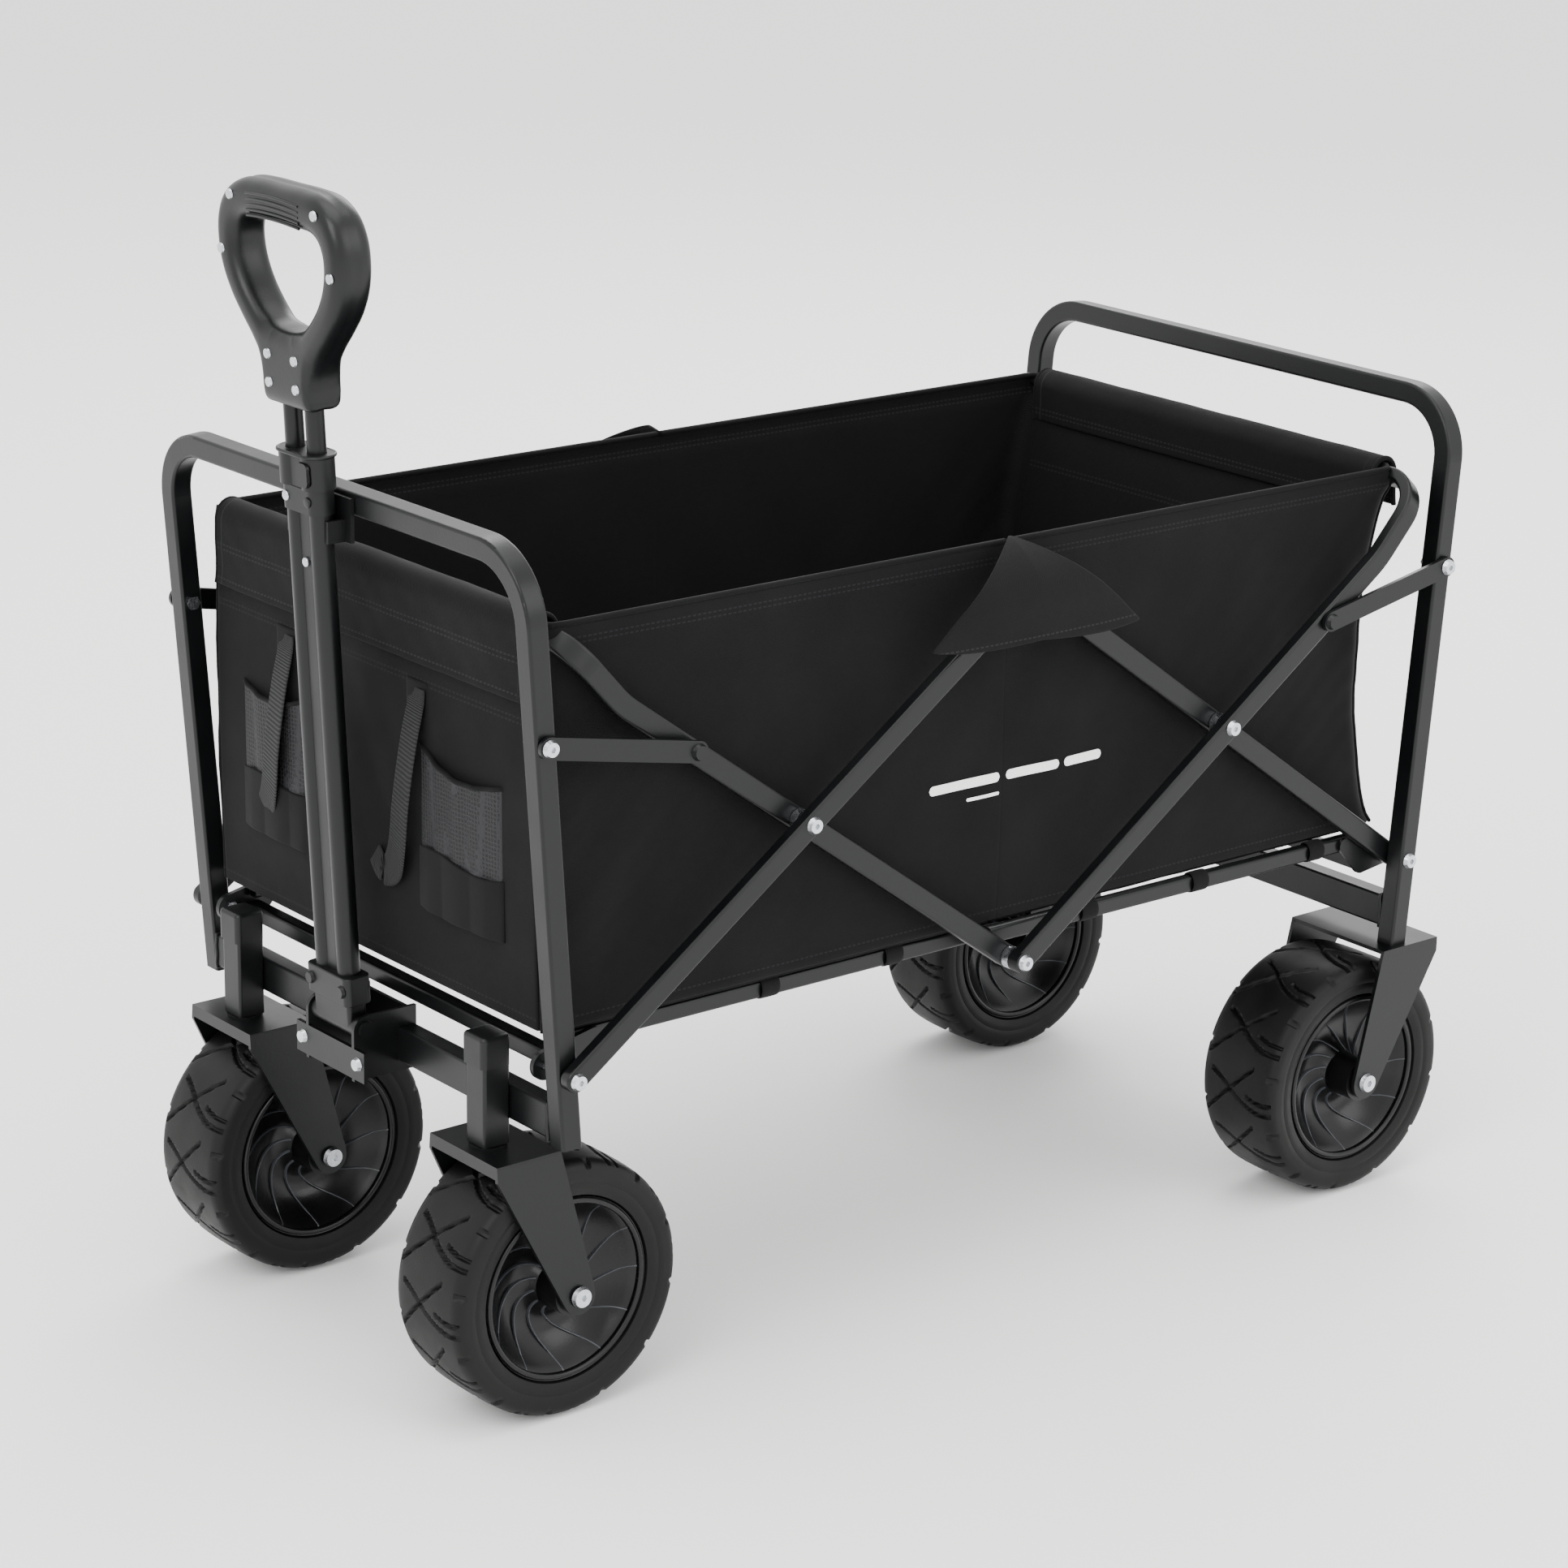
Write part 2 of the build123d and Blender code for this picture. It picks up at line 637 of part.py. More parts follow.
def twin(start, end, radius, web, mode=Mode.ADD):
    with BuildSketch(section_at(start)) as pair:
        with Locations((0, tube_y), (0, -tube_y)):
            Circle(radius)
        if web:
            Rectangle(web, tube_spacing)
    extrude(pair.sketch, amount=end - start, mode=mode)


foot_top = 16.0
collar_band = 361.0
collar_low = 378.0
collar_top = 402.0
inner_low = 60.0
with BuildPart() as outer_tubes:
    twin(foot_top, collar_top - 3, outer_tube_radius, 9)
    twin(foot_top, collar_top - 3, outer_tube_bore, 0, mode=Mode.SUBTRACT)
save(outer_tubes, "handle_outer_tubes")

foot_half = cheek_y - sheet - 0.5
with BuildPart() as foot:
    with BuildSketch(across(pivot_x, -foot_half, handle_pivot_z)):
        Circle(7.5)
    extrude(amount=2 * foot_half)
    with BuildSketch(section_at(0)):
        RectangleRounded(15, 44, 3)
    extrude(amount=foot_top)
    twin(foot_top, foot_top + 14, outer_tube_bore - 0.1, 0)
    disc(pivot_x, handle_pivot_z, 1, -30, 30, 4 + running_gap, mode=Mode.SUBTRACT)
save(foot, "handle_foot")

with BuildPart() as pivot_pin:
    disc(pivot_x, handle_pivot_z, 1, -cheek_y - 0.4, cheek_y + 0.4, 4)
    for side in (1, -1):
        disc(pivot_x, handle_pivot_z, side, cheek_y + 0.4, cheek_y + 3, 6.5)
save(pivot_pin, "handle_pivot_pin")

clamp_low = foot_top + 0.3
clamp_high = 37.0
with BuildPart() as clamp:
    with BuildSketch(section_at(clamp_low)):
        RectangleRounded(21, 51, 5)
    extrude(amount=clamp_high - clamp_low)
    fillet(clamp.edges().group_by(SortBy.LENGTH)[-1], 1.0)
    twin(clamp_low, clamp_high, outer_tube_radius, 9, mode=Mode.SUBTRACT)
    for distance, y in ((27, -19), (27, 19)):
        with BuildSketch(face_at(10.5)):
            with Locations((y, distance)):
                Circle(4.6)
        extrude(amount=2.2, taper=20)
save(clamp, "handle_clamp")

collar_radius = 11.5
with BuildPart() as collar:
    with BuildSketch(section_at(collar_low)):
        with Locations((0, tube_y), (0, -tube_y)):
            Circle(collar_radius)
        Rectangle(18, tube_spacing)
    extrude(amount=collar_top - collar_low)
    with BuildSketch(section_at(collar_band)):
        with Locations((0, tube_y), (0, -tube_y)):
            Circle(collar_radius - 2)
        Rectangle(2 * collar_radius - 4, tube_spacing)
    extrude(amount=collar_low - collar_band)
    twin(collar_band, collar_top - 3, outer_tube_radius, 9, mode=Mode.SUBTRACT)
    twin(collar_top - 3, collar_top, outer_tube_bore, 0, mode=Mode.SUBTRACT)
    with BuildSketch(face_at(collar_radius - 2.4)):
        with Locations((tube_y, collar_low + 11)):
            RectangleRounded(13, 17, 4)
    extrude(amount=4, mode=Mode.SUBTRACT)
save(collar, "lock_collar")

with BuildPart() as button:
    with BuildSketch(face_at(collar_radius - 0.8)):
        with Locations((tube_y, collar_low + 11)):
            RectangleRounded(12.2, 16.2, 3.6)
    extrude(amount=2.2)
save(button, "release_button")

with BuildPart() as inner_tubes:
    twin(inner_low, grip_bottom + 28, inner_tube_radius, 0)
    twin(inner_low, grip_bottom + 28, inner_tube_radius - 1.2, 0, mode=Mode.SUBTRACT)
save(inner_tubes, "handle_inner_tubes")

# Grip: two moulded shells with a D-shaped opening for the fingers
grip_depth = 15.0
grip_half = 74.0
block_half = 24.0


grip_corners = [(-grip_half, grip_top), (-grip_half, 530), (-block_half, 462),
                (-block_half, grip_bottom), (block_half, grip_bottom), (block_half, 462),
                (grip_half, 530), (grip_half, grip_top)]


for name, facing in (("front", 1), ("rear", -1)):
    with BuildPart() as shell:
        with BuildSketch(face_at(0)):
            with BuildLine():
                FilletPolyline(*grip_corners, close=True, radius=(33, 38, 24, 3, 3, 24, 38, 33))
            make_face()
            with BuildLine():
                FilletPolyline((-54, 553), (-54, 534), (-13, 484), (13, 484), (54, 534), (54, 553),
                               close=True, radius=(13, 13, 22, 22, 13, 13))
            make_face(mode=Mode.SUBTRACT)
        extrude(amount=facing * grip_depth)
        rim_edges = shell.faces().sort_by(Axis(handle_pivot, handle_front))[-1 if facing == 1 else 0]
        fillet(rim_edges.edges(), 9)
        twin(grip_bottom, grip_bottom + 28.2, inner_tube_radius + 0.05, 0, mode=Mode.SUBTRACT)
    save(shell, f"grip_shell_{name}")

screw_places = [(-50, 566), (50, 566), (-65, 528), (65, 528),
                (-16, 466), (16, 466), (-16, 447), (16, 447)]
with BuildPart() as screws:
    with BuildSketch(face_at(grip_depth)):
        with Locations(*screw_places):
            Circle(3.6)
    extrude(amount=1.2, taper=20)
save(screws, "grip_screws")
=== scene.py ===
"""Collapsible four-wheel wagon: fabric tub, moulded wheels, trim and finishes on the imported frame."""

import json
from math import cos, pi, radians, sin, sqrt

import bpy
from mathutils import Matrix, Vector


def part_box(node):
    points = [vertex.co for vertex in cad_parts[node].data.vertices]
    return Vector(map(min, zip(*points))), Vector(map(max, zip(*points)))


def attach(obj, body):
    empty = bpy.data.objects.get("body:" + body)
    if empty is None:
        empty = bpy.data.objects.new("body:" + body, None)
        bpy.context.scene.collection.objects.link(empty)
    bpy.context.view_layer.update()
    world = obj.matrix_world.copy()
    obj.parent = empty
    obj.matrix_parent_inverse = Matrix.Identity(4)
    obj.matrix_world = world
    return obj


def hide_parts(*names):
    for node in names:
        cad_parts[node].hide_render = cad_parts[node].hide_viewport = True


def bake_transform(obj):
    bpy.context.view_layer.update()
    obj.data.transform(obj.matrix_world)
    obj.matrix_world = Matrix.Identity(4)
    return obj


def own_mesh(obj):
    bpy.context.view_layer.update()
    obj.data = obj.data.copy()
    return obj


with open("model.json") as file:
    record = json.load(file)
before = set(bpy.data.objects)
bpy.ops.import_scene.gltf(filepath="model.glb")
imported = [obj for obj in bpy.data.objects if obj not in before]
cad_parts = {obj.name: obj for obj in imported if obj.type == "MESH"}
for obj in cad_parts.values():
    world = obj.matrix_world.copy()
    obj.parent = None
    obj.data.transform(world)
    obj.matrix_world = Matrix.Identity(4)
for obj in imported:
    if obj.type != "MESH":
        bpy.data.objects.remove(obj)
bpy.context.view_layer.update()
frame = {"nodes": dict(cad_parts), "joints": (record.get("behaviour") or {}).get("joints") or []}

bl_info = {
    "name": "Folding Wagon",
    "version": (1, 0, 0),
    "blender": (4, 5, 0),
    "location": "View3D > Sidebar > Wagon",
    "description": "Builds the soft goods, wheels, trim and stage of a folding wagon",
    "category": "Object",
}

NODES = frame["nodes"]
JOINTS = {joint["name"]: joint for joint in frame["joints"]}


def pivot(name):
    """A hinge's place, in millimetres."""
    return Vector(JOINTS[name]["pos_m"]) * 1000


def box_mm(node):
    low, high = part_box(node)
    return low * 1000, high * 1000


FRONT_X = pivot("fold").x
REAR_X = pivot("rear_frame_pivot").x
MIDDLE_X = (FRONT_X + REAR_X) / 2
TOP = pivot("rear_strut_left_pivot")
FRONT_BAR = pivot("tub_front_hang")
REAR_BAR = pivot("tub_rear_hang")
FLOOR_HIGH = box_mm("floor_front")[1]
SWING = pivot("handle_swing")
UP = Vector(JOINTS["handle_slide"]["axis"]).normalized()
FACING = Vector(JOINTS["button_press"]["axis"]).normalized()
HEM_Z = FLOOR_HIGH.z - 2
RIM_Z = FRONT_BAR.z + 7


# Properties

class WagonSizes(bpy.types.PropertyGroup):
    thread: bpy.props.FloatProperty(
        name="Thread spacing", description="Spacing of the twill's ribs, drawn coarse enough to show",
        default=0.0011, unit="LENGTH")
    cloth: bpy.props.FloatProperty(
        name="Cloth", description="Thickness of the tub's coated cloth", default=0.0022, unit="LENGTH")
    tread: bpy.props.FloatProperty(
        name="Tread", description="Depth of the tyre's grooves", default=0.0026, unit="LENGTH")
    ribs: bpy.props.IntProperty(
        name="Ribs", description="Curved ribs on each face of a rim", default=12, min=3)


class WagonColours(bpy.types.PropertyGroup):
    steel: bpy.props.StringProperty(name="Steel", description="Powder coat", default="#08090a")
    cloth: bpy.props.StringProperty(name="Cloth", description="Tub fabric", default="#060607")
    rubber: bpy.props.StringProperty(name="Rubber", description="Tyre foam", default="#080808")
    plastic: bpy.props.StringProperty(name="Plastic", description="Moulded trim", default="#08090a")
    zinc: bpy.props.StringProperty(name="Zinc", description="Plated bolts", default="#c6c9cd")
    marks: bpy.props.StringProperty(name="Print", description="Printed stripes", default="#f1f1ef")


# Materials

def linear(text):
    """An sRGB hex colour as linear RGBA."""
    parts = [int(text[i:i + 2], 16) / 255 for i in (1, 3, 5)]
    return tuple(c / 12.92 if c <= 0.04045 else ((c + 0.055) / 1.055) ** 2.4 for c in parts) + (1,)


def add(tree, kind, links=None, **settings):
    """Adds a node: settings are its properties, or its sockets' values by name; links are sources."""
    node = tree.nodes.new(kind)
    for name, value in settings.items():
        if hasattr(node, name):
            setattr(node, name, value)
        else:
            node.inputs[name.replace("_", " ")].default_value = value
    for name, source in (links or {}).items():
        tree.links.new(source, node.inputs[name])
    return node


def start(name, colour, roughness, metallic=0.0, ior=1.5, specular=0.5):
    """A material with its shader: returns the material, its node tree and the shader."""
    material = bpy.data.materials.new(name)
    material.use_nodes = True
    tree = material.node_tree
    shader = tree.nodes["Principled BSDF"]
    shader.inputs["Base Color"].default_value = linear(colour)
    shader.inputs["Roughness"].default_value = roughness
    shader.inputs["Metallic"].default_value = metallic
    shader.inputs["IOR"].default_value = ior
    shader.inputs["Specular IOR Level"].default_value = specular
    return material, tree, shader


def maths(tree, operation, first, second):
    node = add(tree, "ShaderNodeMath", operation=operation)
    for socket, value in zip(node.inputs, (first, second)):
        if isinstance(value, (int, float)):
            socket.default_value = value
        else:
            tree.links.new(value, socket)
    return node.outputs[0]


def vary(tree, shader, where, colour, spread, size, rough):
    """Varies the colour and roughness a little in soft patches of this size in metres."""
    noise = add(tree, "ShaderNodeTexNoise", {"Vector": where}, Scale=1 / size, Detail=4.0)
    ramp = add(tree, "ShaderNodeValToRGB", {"Fac": noise.outputs["Fac"]})
    base = linear(colour)
    for stop, factor in zip(ramp.color_ramp.elements, (1 - spread, 1 + spread)):
        stop.color = tuple(c * factor for c in base[:3]) + (1,)
    ramp.color_ramp.elements[0].position = 0.35
    ramp.color_ramp.elements[1].position = 0.65
    tree.links.new(ramp.outputs["Color"], shader.inputs["Base Color"])
    level = add(tree, "ShaderNodeMapRange", {"Value": noise.outputs["Fac"]})
    for name, value in (("From Min", 0.3), ("From Max", 0.7), ("To Min", rough[0]), ("To Max", rough[1])):
        level.inputs[name].default_value = value
    tree.links.new(level.outputs["Result"], shader.inputs["Roughness"])
    return ramp.outputs["Color"]


def bump(tree, shader, height, strength, distance):
    node = add(tree, "ShaderNodeBump", {"Height": height}, Strength=strength, Distance=distance)
    tree.links.new(node.outputs["Normal"], shader.inputs["Normal"])


def steel_material(name, colour):
    """Satin powder coat baked on steel tube: fine orange peel and soft broad highlights."""
    material, tree, shader = start(name, colour, 0.36, specular=0.28)
    where = add(tree, "ShaderNodeTexCoord").outputs["Object"]
    vary(tree, shader, where, colour, 0.12, 0.05, (0.30, 0.40))
    peel = add(tree, "ShaderNodeTexNoise", {"Vector": where}, Scale=520.0, Detail=3.0)
    bump(tree, shader, peel.outputs["Fac"], 0.12, 0.0004)
    return material


def zinc_material(colour):
    """Bright zinc plate on pressed bolt heads: cool grey with faint swirls."""
    material, tree, shader = start("zinc_plated_steel", colour, 0.24, metallic=1.0)
    where = add(tree, "ShaderNodeTexCoord").outputs["Object"]
    vary(tree, shader, where, colour, 0.10, 0.004, (0.18, 0.32))
    return material


def rubber_material(colour):
    """Moulded EVA foam tyre: dull skin with fine pores and a little grey scuffing."""
    material, tree, shader = start("moulded_foam_rubber", colour, 0.52, specular=0.2)
    where = add(tree, "ShaderNodeTexCoord").outputs["Object"]
    vary(tree, shader, where, colour, 0.22, 0.03, (0.44, 0.60))
    pores = add(tree, "ShaderNodeTexNoise", {"Vector": where}, Scale=900.0, Detail=2.0)
    bump(tree, shader, pores.outputs["Fac"], 0.2, 0.0005)
    return material


def plastic_material(name, colour, roughness, grain):
    """Injection-moulded polypropylene with a spark-eroded texture of this grain in metres."""
    material, tree, shader = start(name, colour, roughness, specular=0.3)
    where = add(tree, "ShaderNodeTexCoord").outputs["Object"]
    vary(tree, shader, where, colour, 0.08, 0.04, (roughness - 0.05, roughness + 0.05))
    pits = add(tree, "ShaderNodeTexVoronoi", {"Vector": where}, Scale=1 / grain)
    bump(tree, shader, pits.outputs["Distance"], 0.10, 0.0003)
    return material


def cloth_material(name, colour, thread, stitches=(), axis="X", roughness=0.82):
    """PU-backed polyester twill: fine slanting ribs, a soft sheen and rows of lock stitch.

    Stitches are (axis, place in mm) rows, and their threads run along the other axis given.
    """
    material, tree, shader = start(name, colour, roughness, ior=1.36, specular=0.25)
    where = add(tree, "ShaderNodeTexCoord").outputs["Object"]
    tone = vary(tree, shader, where, colour, 0.16, 0.07, (roughness - 0.08, roughness + 0.06))
    twill = add(tree, "ShaderNodeTexWave", {"Vector": where}, bands_direction="DIAGONAL",
                Scale=0.54 / thread, Distortion=0.6, Detail=1.0)
    slub = add(tree, "ShaderNodeTexNoise", {"Vector": where}, Scale=1 / (3 * thread), Detail=3.0)
    height = maths(tree, "ADD", twill.outputs["Fac"], slub.outputs["Fac"])
    split = add(tree, "ShaderNodeSeparateXYZ", {"Vector": where})
    rows = None
    for across, place in stitches:
        away = maths(tree, "ABSOLUTE", maths(tree, "SUBTRACT", split.outputs[across], place / 1000), 0)
        row = maths(tree, "LESS_THAN", away, 0.0006)
        rows = row if rows is None else maths(tree, "MAXIMUM", rows, row)
    if rows is not None:
        dash = maths(tree, "GREATER_THAN", maths(
            tree, "SINE", maths(tree, "MULTIPLY", split.outputs[axis], 2 * pi / 0.0042), 0), -0.35)
        thread_mask = maths(tree, "MULTIPLY", rows, dash)
        mix = add(tree, "ShaderNodeMix", data_type="RGBA")
        tree.links.new(thread_mask, mix.inputs["Factor"])
        tree.links.new(tone, mix.inputs[6])
        mix.inputs[7].default_value = tuple(4.5 * c for c in linear(colour)[:3]) + (1,)
        tree.links.new(mix.outputs[2], shader.inputs["Base Color"])
        sunk = maths(tree, "MULTIPLY", rows, -2.5)
        height = maths(tree, "ADD", height, maths(tree, "ADD", sunk, maths(
            tree, "MULTIPLY", thread_mask, 4.0)))
    shader.inputs["Sheen Weight"].default_value = 0.02
    shader.inputs["Sheen Roughness"].default_value = 0.45
    bump(tree, shader, height, 0.30, 0.0005)
    return material


def webbing_material(colour):
    """Woven polyester webbing: ribs across the strap every 1.8 mm, with painted shade in the grooves and
    painted highlight on the crests.
    """
    material, tree, shader = start("woven_polyester_webbing", colour, 0.7, specular=0.3)
    where = add(tree, "ShaderNodeTexCoord").outputs["UV"]
    scaled = add(tree, "ShaderNodeMapping", {"Vector": where}, Scale=(1.0, 1.0, 1.0))
    ribs = add(tree, "ShaderNodeTexWave", {"Vector": scaled.outputs["Vector"]}, bands_direction="Y",
               Scale=28.0, Distortion=0.3)
    ramp = add(tree, "ShaderNodeValToRGB", {"Fac": ribs.outputs["Fac"]})
    base = linear(colour)
    # Painted shade and highlight: the colour goes dark in the grooves and light on the crests of the ribs.
    ramp.color_ramp.elements[0].color = tuple(c * 0.3 for c in base[:3]) + (1,)
    ramp.color_ramp.elements[1].color = tuple(c * 5.0 for c in base[:3]) + (1,)
    tree.links.new(ramp.outputs["Color"], shader.inputs["Base Color"])
    bump(tree, shader, ribs.outputs["Fac"], 0.9, 0.0012)
    return material


def mesh_material(colour):
    """Knitted pocket mesh: open cells about 3 mm apart between raised cords, the cells painted near-black as
    shade seen through the holes.
    """
    material, tree, shader = start("knitted_polyester_mesh", colour, 0.6, specular=0.3)
    where = add(tree, "ShaderNodeTexCoord").outputs["Object"]
    cells = add(tree, "ShaderNodeTexVoronoi", {"Vector": where}, feature="DISTANCE_TO_EDGE",
                Scale=330.0, Randomness=0.25)
    ramp = add(tree, "ShaderNodeValToRGB", {"Fac": cells.outputs["Distance"]})
    ramp.color_ramp.elements[0].position = 0.10
    ramp.color_ramp.elements[1].position = 0.22
    ramp.color_ramp.elements[0].color = tuple(3.2 * c for c in linear(colour)[:3]) + (1,)
    # Painted shade: the open cells are coloured near-black in place of holes.
    ramp.color_ramp.elements[1].color = (0.0006, 0.0006, 0.0007, 1)
    tree.links.new(ramp.outputs["Color"], shader.inputs["Base Color"])
    low = maths(tree, "MULTIPLY", cells.outputs["Distance"], -1.0)
    bump(tree, shader, low, 0.9, 0.0012)
    return material


def print_material(colour):
    """Screen-printed ink on twill: matt white broken slightly by the weave."""
    material, tree, shader = start("screen_printed_ink", colour, 0.6)
    where = add(tree, "ShaderNodeTexCoord").outputs["Object"]
    vary(tree, shader, where, colour, 0.04, 0.002, (0.55, 0.7))
    return material


MATERIALS = {}


def finish_nodes(material, *prefixes):
    """Gives this material to every CAD node whose name starts with one of the prefixes."""
    for name, node in NODES.items():
        if name.startswith(prefixes):
            node.data.materials.clear()
            node.data.materials.append(MATERIALS[material])


# Modelling helpers

def fresh():
    if bpy.context.object and bpy.context.object.mode != "OBJECT":
        bpy.ops.object.mode_set(mode="OBJECT")
    bpy.ops.object.select_all(action="DESELECT")


def settle(name, material, body, replaced=(), smooth=40):
    """Finishes the active object: name, material, transforms, shading, and the body it rides on."""
    piece = bpy.context.object
    piece.name = name
    bpy.ops.object.transform_apply(location=True, rotation=True, scale=True)
    piece.data.materials.clear()
    piece.data.materials.append(MATERIALS[material])
    bpy.ops.object.shade_smooth_by_angle(angle=radians(smooth))
    if body:
        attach(piece, body)
    if replaced:
        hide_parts(*replaced)
    return piece


def shell(name, columns, rows, place, material, body, thickness=None, replaced=(), smooth_levels=1,
          weld=False, smooth=50):
    """A sheet laid over place(u, v), in mm with u and v from 0 to 1, then thickened and smoothed."""
    fresh()
    bpy.ops.mesh.primitive_grid_add(x_subdivisions=columns, y_subdivisions=rows, size=2)
    piece = bpy.context.object
    for vertex in piece.data.vertices:
        u, v = (vertex.co.x + 1) / 2, (vertex.co.y + 1) / 2
        vertex.co = Vector(place(u, v)) / 1000
    if weld:
        bpy.ops.object.mode_set(mode="EDIT")
        bpy.ops.mesh.select_all(action="SELECT")
        bpy.ops.mesh.remove_doubles(threshold=0.00005)
        bpy.ops.mesh.normals_make_consistent(inside=False)
        bpy.ops.object.mode_set(mode="OBJECT")
    if thickness:
        solid = piece.modifiers.new("wall", "SOLIDIFY")
        solid.thickness = thickness
        solid.offset = 0
        bpy.ops.object.modifier_apply(modifier=solid.name)
    if smooth_levels:
        finer = piece.modifiers.new("smooth", "SUBSURF")
        finer.levels = finer.render_levels = smooth_levels
        bpy.ops.object.modifier_apply(modifier=finer.name)
    return settle(name, material, body, replaced, smooth)


def piping(name, points, radius, material, body, closed=False):
    """A round cord sewn along points given in mm."""
    fresh()
    curve = bpy.data.curves.new(name, "CURVE")
    curve.dimensions = "3D"
    curve.bevel_depth = radius / 1000
    curve.bevel_resolution = 3
    curve.use_fill_caps = True
    spline = curve.splines.new("POLY")
    spline.points.add(len(points) - 1)
    for point, place in zip(spline.points, points):
        point.co = tuple(Vector(place) / 1000) + (1,)
    spline.use_cyclic_u = closed
    piece = bpy.data.objects.new(name, curve)
    bpy.context.scene.collection.objects.link(piece)
    piece.select_set(True)
    bpy.context.view_layer.objects.active = piece
    bpy.ops.object.convert(target="MESH")
    return settle(name, material, body)


def join(name, pieces):
    """Joins finished pieces that ride on the same body into the first one."""
    fresh()
    for piece in pieces:
        piece.select_set(True)
    bpy.context.view_layer.objects.active = pieces[0]
    bpy.ops.object.join()
    pieces[0].name = name
    return pieces[0]


def wrinkle(a, b, seed=0.0):
    """Soft folds: a smooth sum of slanting waves, about -1 to 1."""
    return (sin(2.1 * a + 1.3 * b + seed) + 0.6 * sin(3.7 * a - 2.9 * b + 1.7 * seed)
            + 0.35 * sin(7.3 * a + 5.1 * b + 2.3 * seed)) / 1.95


# Wheels

def tread(angle, y):
    """Groove depth share at this place: a straight and a curved groove cross in each of 12 units."""
    pitch = 2 * pi / 12
    arc = ((angle + pitch / 2) % pitch - pitch / 2) * 92
    along = y + 5
    depth = 0.0
    for shift in (-48.2, 0.0, 48.2):
        at = arc + shift
        if -31 < y < 17:
            depth = max(depth, 1 - (abs(at - 0.95 * along) / 2.1) ** 2)
        if -25 < y < 35:
            curve = -0.75 * along + 0.011 * along * abs(along)
            depth = max(depth, 1 - (abs(at - curve) / 1.9) ** 2)
            if y > 12:
                depth = max(depth, 1 - (abs(at - curve - 8) / 1.5) ** 2)
        if abs(y) > 31:
            depth = max(depth, 1 - (abs(at - 17 * (1 if y > 0 else -1)) / 2.6) ** 2)
    return max(0.0, min(1.0, 1.5 * depth))


def build_wheel(corner, centre, sizes):
    body = f"wheel_{corner}"

    def tyre(u, v):
        angle = 2 * pi * u
        across = 2 * v - 1
        side, share = (1 if across > 0 else -1), abs(across)
        if share < 0.72:
            share /= 0.72
            y = side * 37.6 * (share if share < 0.8 else 0.8 + 0.2 * sin((share - 0.8) / 0.2 * pi / 2))
            fade = 1 - max(0.0, (share - 0.92) / 0.08)
            radius = 92.4 - 2.2 * share ** 3 - 6.5 * max(0.0, (share - 0.78) / 0.22) ** 2
            radius -= sizes.tread * 1000 * tread(angle, y) * fade
        elif share < 0.94:
            t = (share - 0.72) / 0.22
            y = side * (37.6 + 0.2 * sin(pi * t) - 3.0 * t ** 3 - (0.8 if 0.42 < t < 0.52 else 0))
            radius = 83.7 - 18.3 * t
        else:
            t = (share - 0.94) / 0.06
            y, radius = side * 34.6 * (1 - t), 65.4
        return (centre.x + radius * cos(angle), centre.y + y,
                max(centre.z + radius * sin(angle), 0.15))

    shell(f"tyre_{corner}_tread", 500, 76, tyre, "rubber", body, replaced=(f"tyre_{corner}",),
          smooth_levels=0, weld=True, smooth=35)

    for side, facing in ((1, "left"), (-1, "right")):
        def bowl(u, v, side=side):
            radius = 16 + 46 * min(1.0, 2 * v if v <= 0.5 else 2 - 2 * v)
            height = dish_height(radius) - (0 if v <= 0.5 else 1)
            angle = 2 * pi * u
            return (centre.x + radius * cos(angle), centre.y + side * height,
                    centre.z + radius * sin(angle))

        shell(f"rim_{corner}_bowl_{facing}", 96, 36, bowl, "rim", body, smooth_levels=0, weld=True)

    ribs = []
    for side in (1, -1):
        for index in range(sizes.ribs):
            base = 2 * pi * index / sizes.ribs

            def rib(u, v, side=side, base=base):
                radius = 17 + 44.5 * u
                angle = base + side * 0.95 * (1 - u) ** 1.7
                dish = dish_height(radius)
                crest = dish + 1.9 * sin(pi * min(1.0, u * 1.1 + 0.1)) ** 0.6 + 0.2
                across, height = ((-1.1, dish - 1), (-0.7, crest - 0.4), (-0.3, crest), (0.3, crest),
                                  (0.7, crest - 0.4), (1.1, dish - 1))[round(v * 5)]
                return (centre.x + radius * cos(angle) - across * sin(angle),
                        centre.y + side * height,
                        centre.z + radius * sin(angle) + across * cos(angle))

            # The ribs take the lighter grey material: a painted highlight on black plastic.
            ribs.append(shell(f"rib_{corner}_{side}_{index}", 18, 5, rib, "rib", None, smooth_levels=0,
                              smooth=30))
    together = join(f"rim_{corner}_ribs", ribs)
    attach(together, body)
    for side in (1, -1):
        lip = [(centre.x + 62.6 * cos(a), centre.y + side * 33.4, centre.z + 62.6 * sin(a))
               for a in (2 * pi * i / 96 for i in range(96))]
        piping(f"rim_{corner}_lip_{'left' if side > 0 else 'right'}", lip, 2.2, "rim", body, closed=True)


def dish_height(radius):
    """Height of the rim's bowl above the wheel's middle, in mm: deep at the hub, up to the lip."""
    if radius < 30:
        return 10 + 11 * ((30 - radius) / 14) ** 2
    return 10 + 22 * min(1.0, (radius - 30) / 31) ** 2


# Tub

def end_line(height, forward):
    """How far the tub's end stands from the bar's axis, outwards, at this height in mm."""
    share = max(0.0, min(1.0, (height - HEM_Z) / (RIM_Z - HEM_Z)))
    if forward > 0:
        return 2.5 + 2.5 * sin(pi * share)
    return -4 - 26 * sin(pi * min(1.0, share * 1.05)) ** 0.6


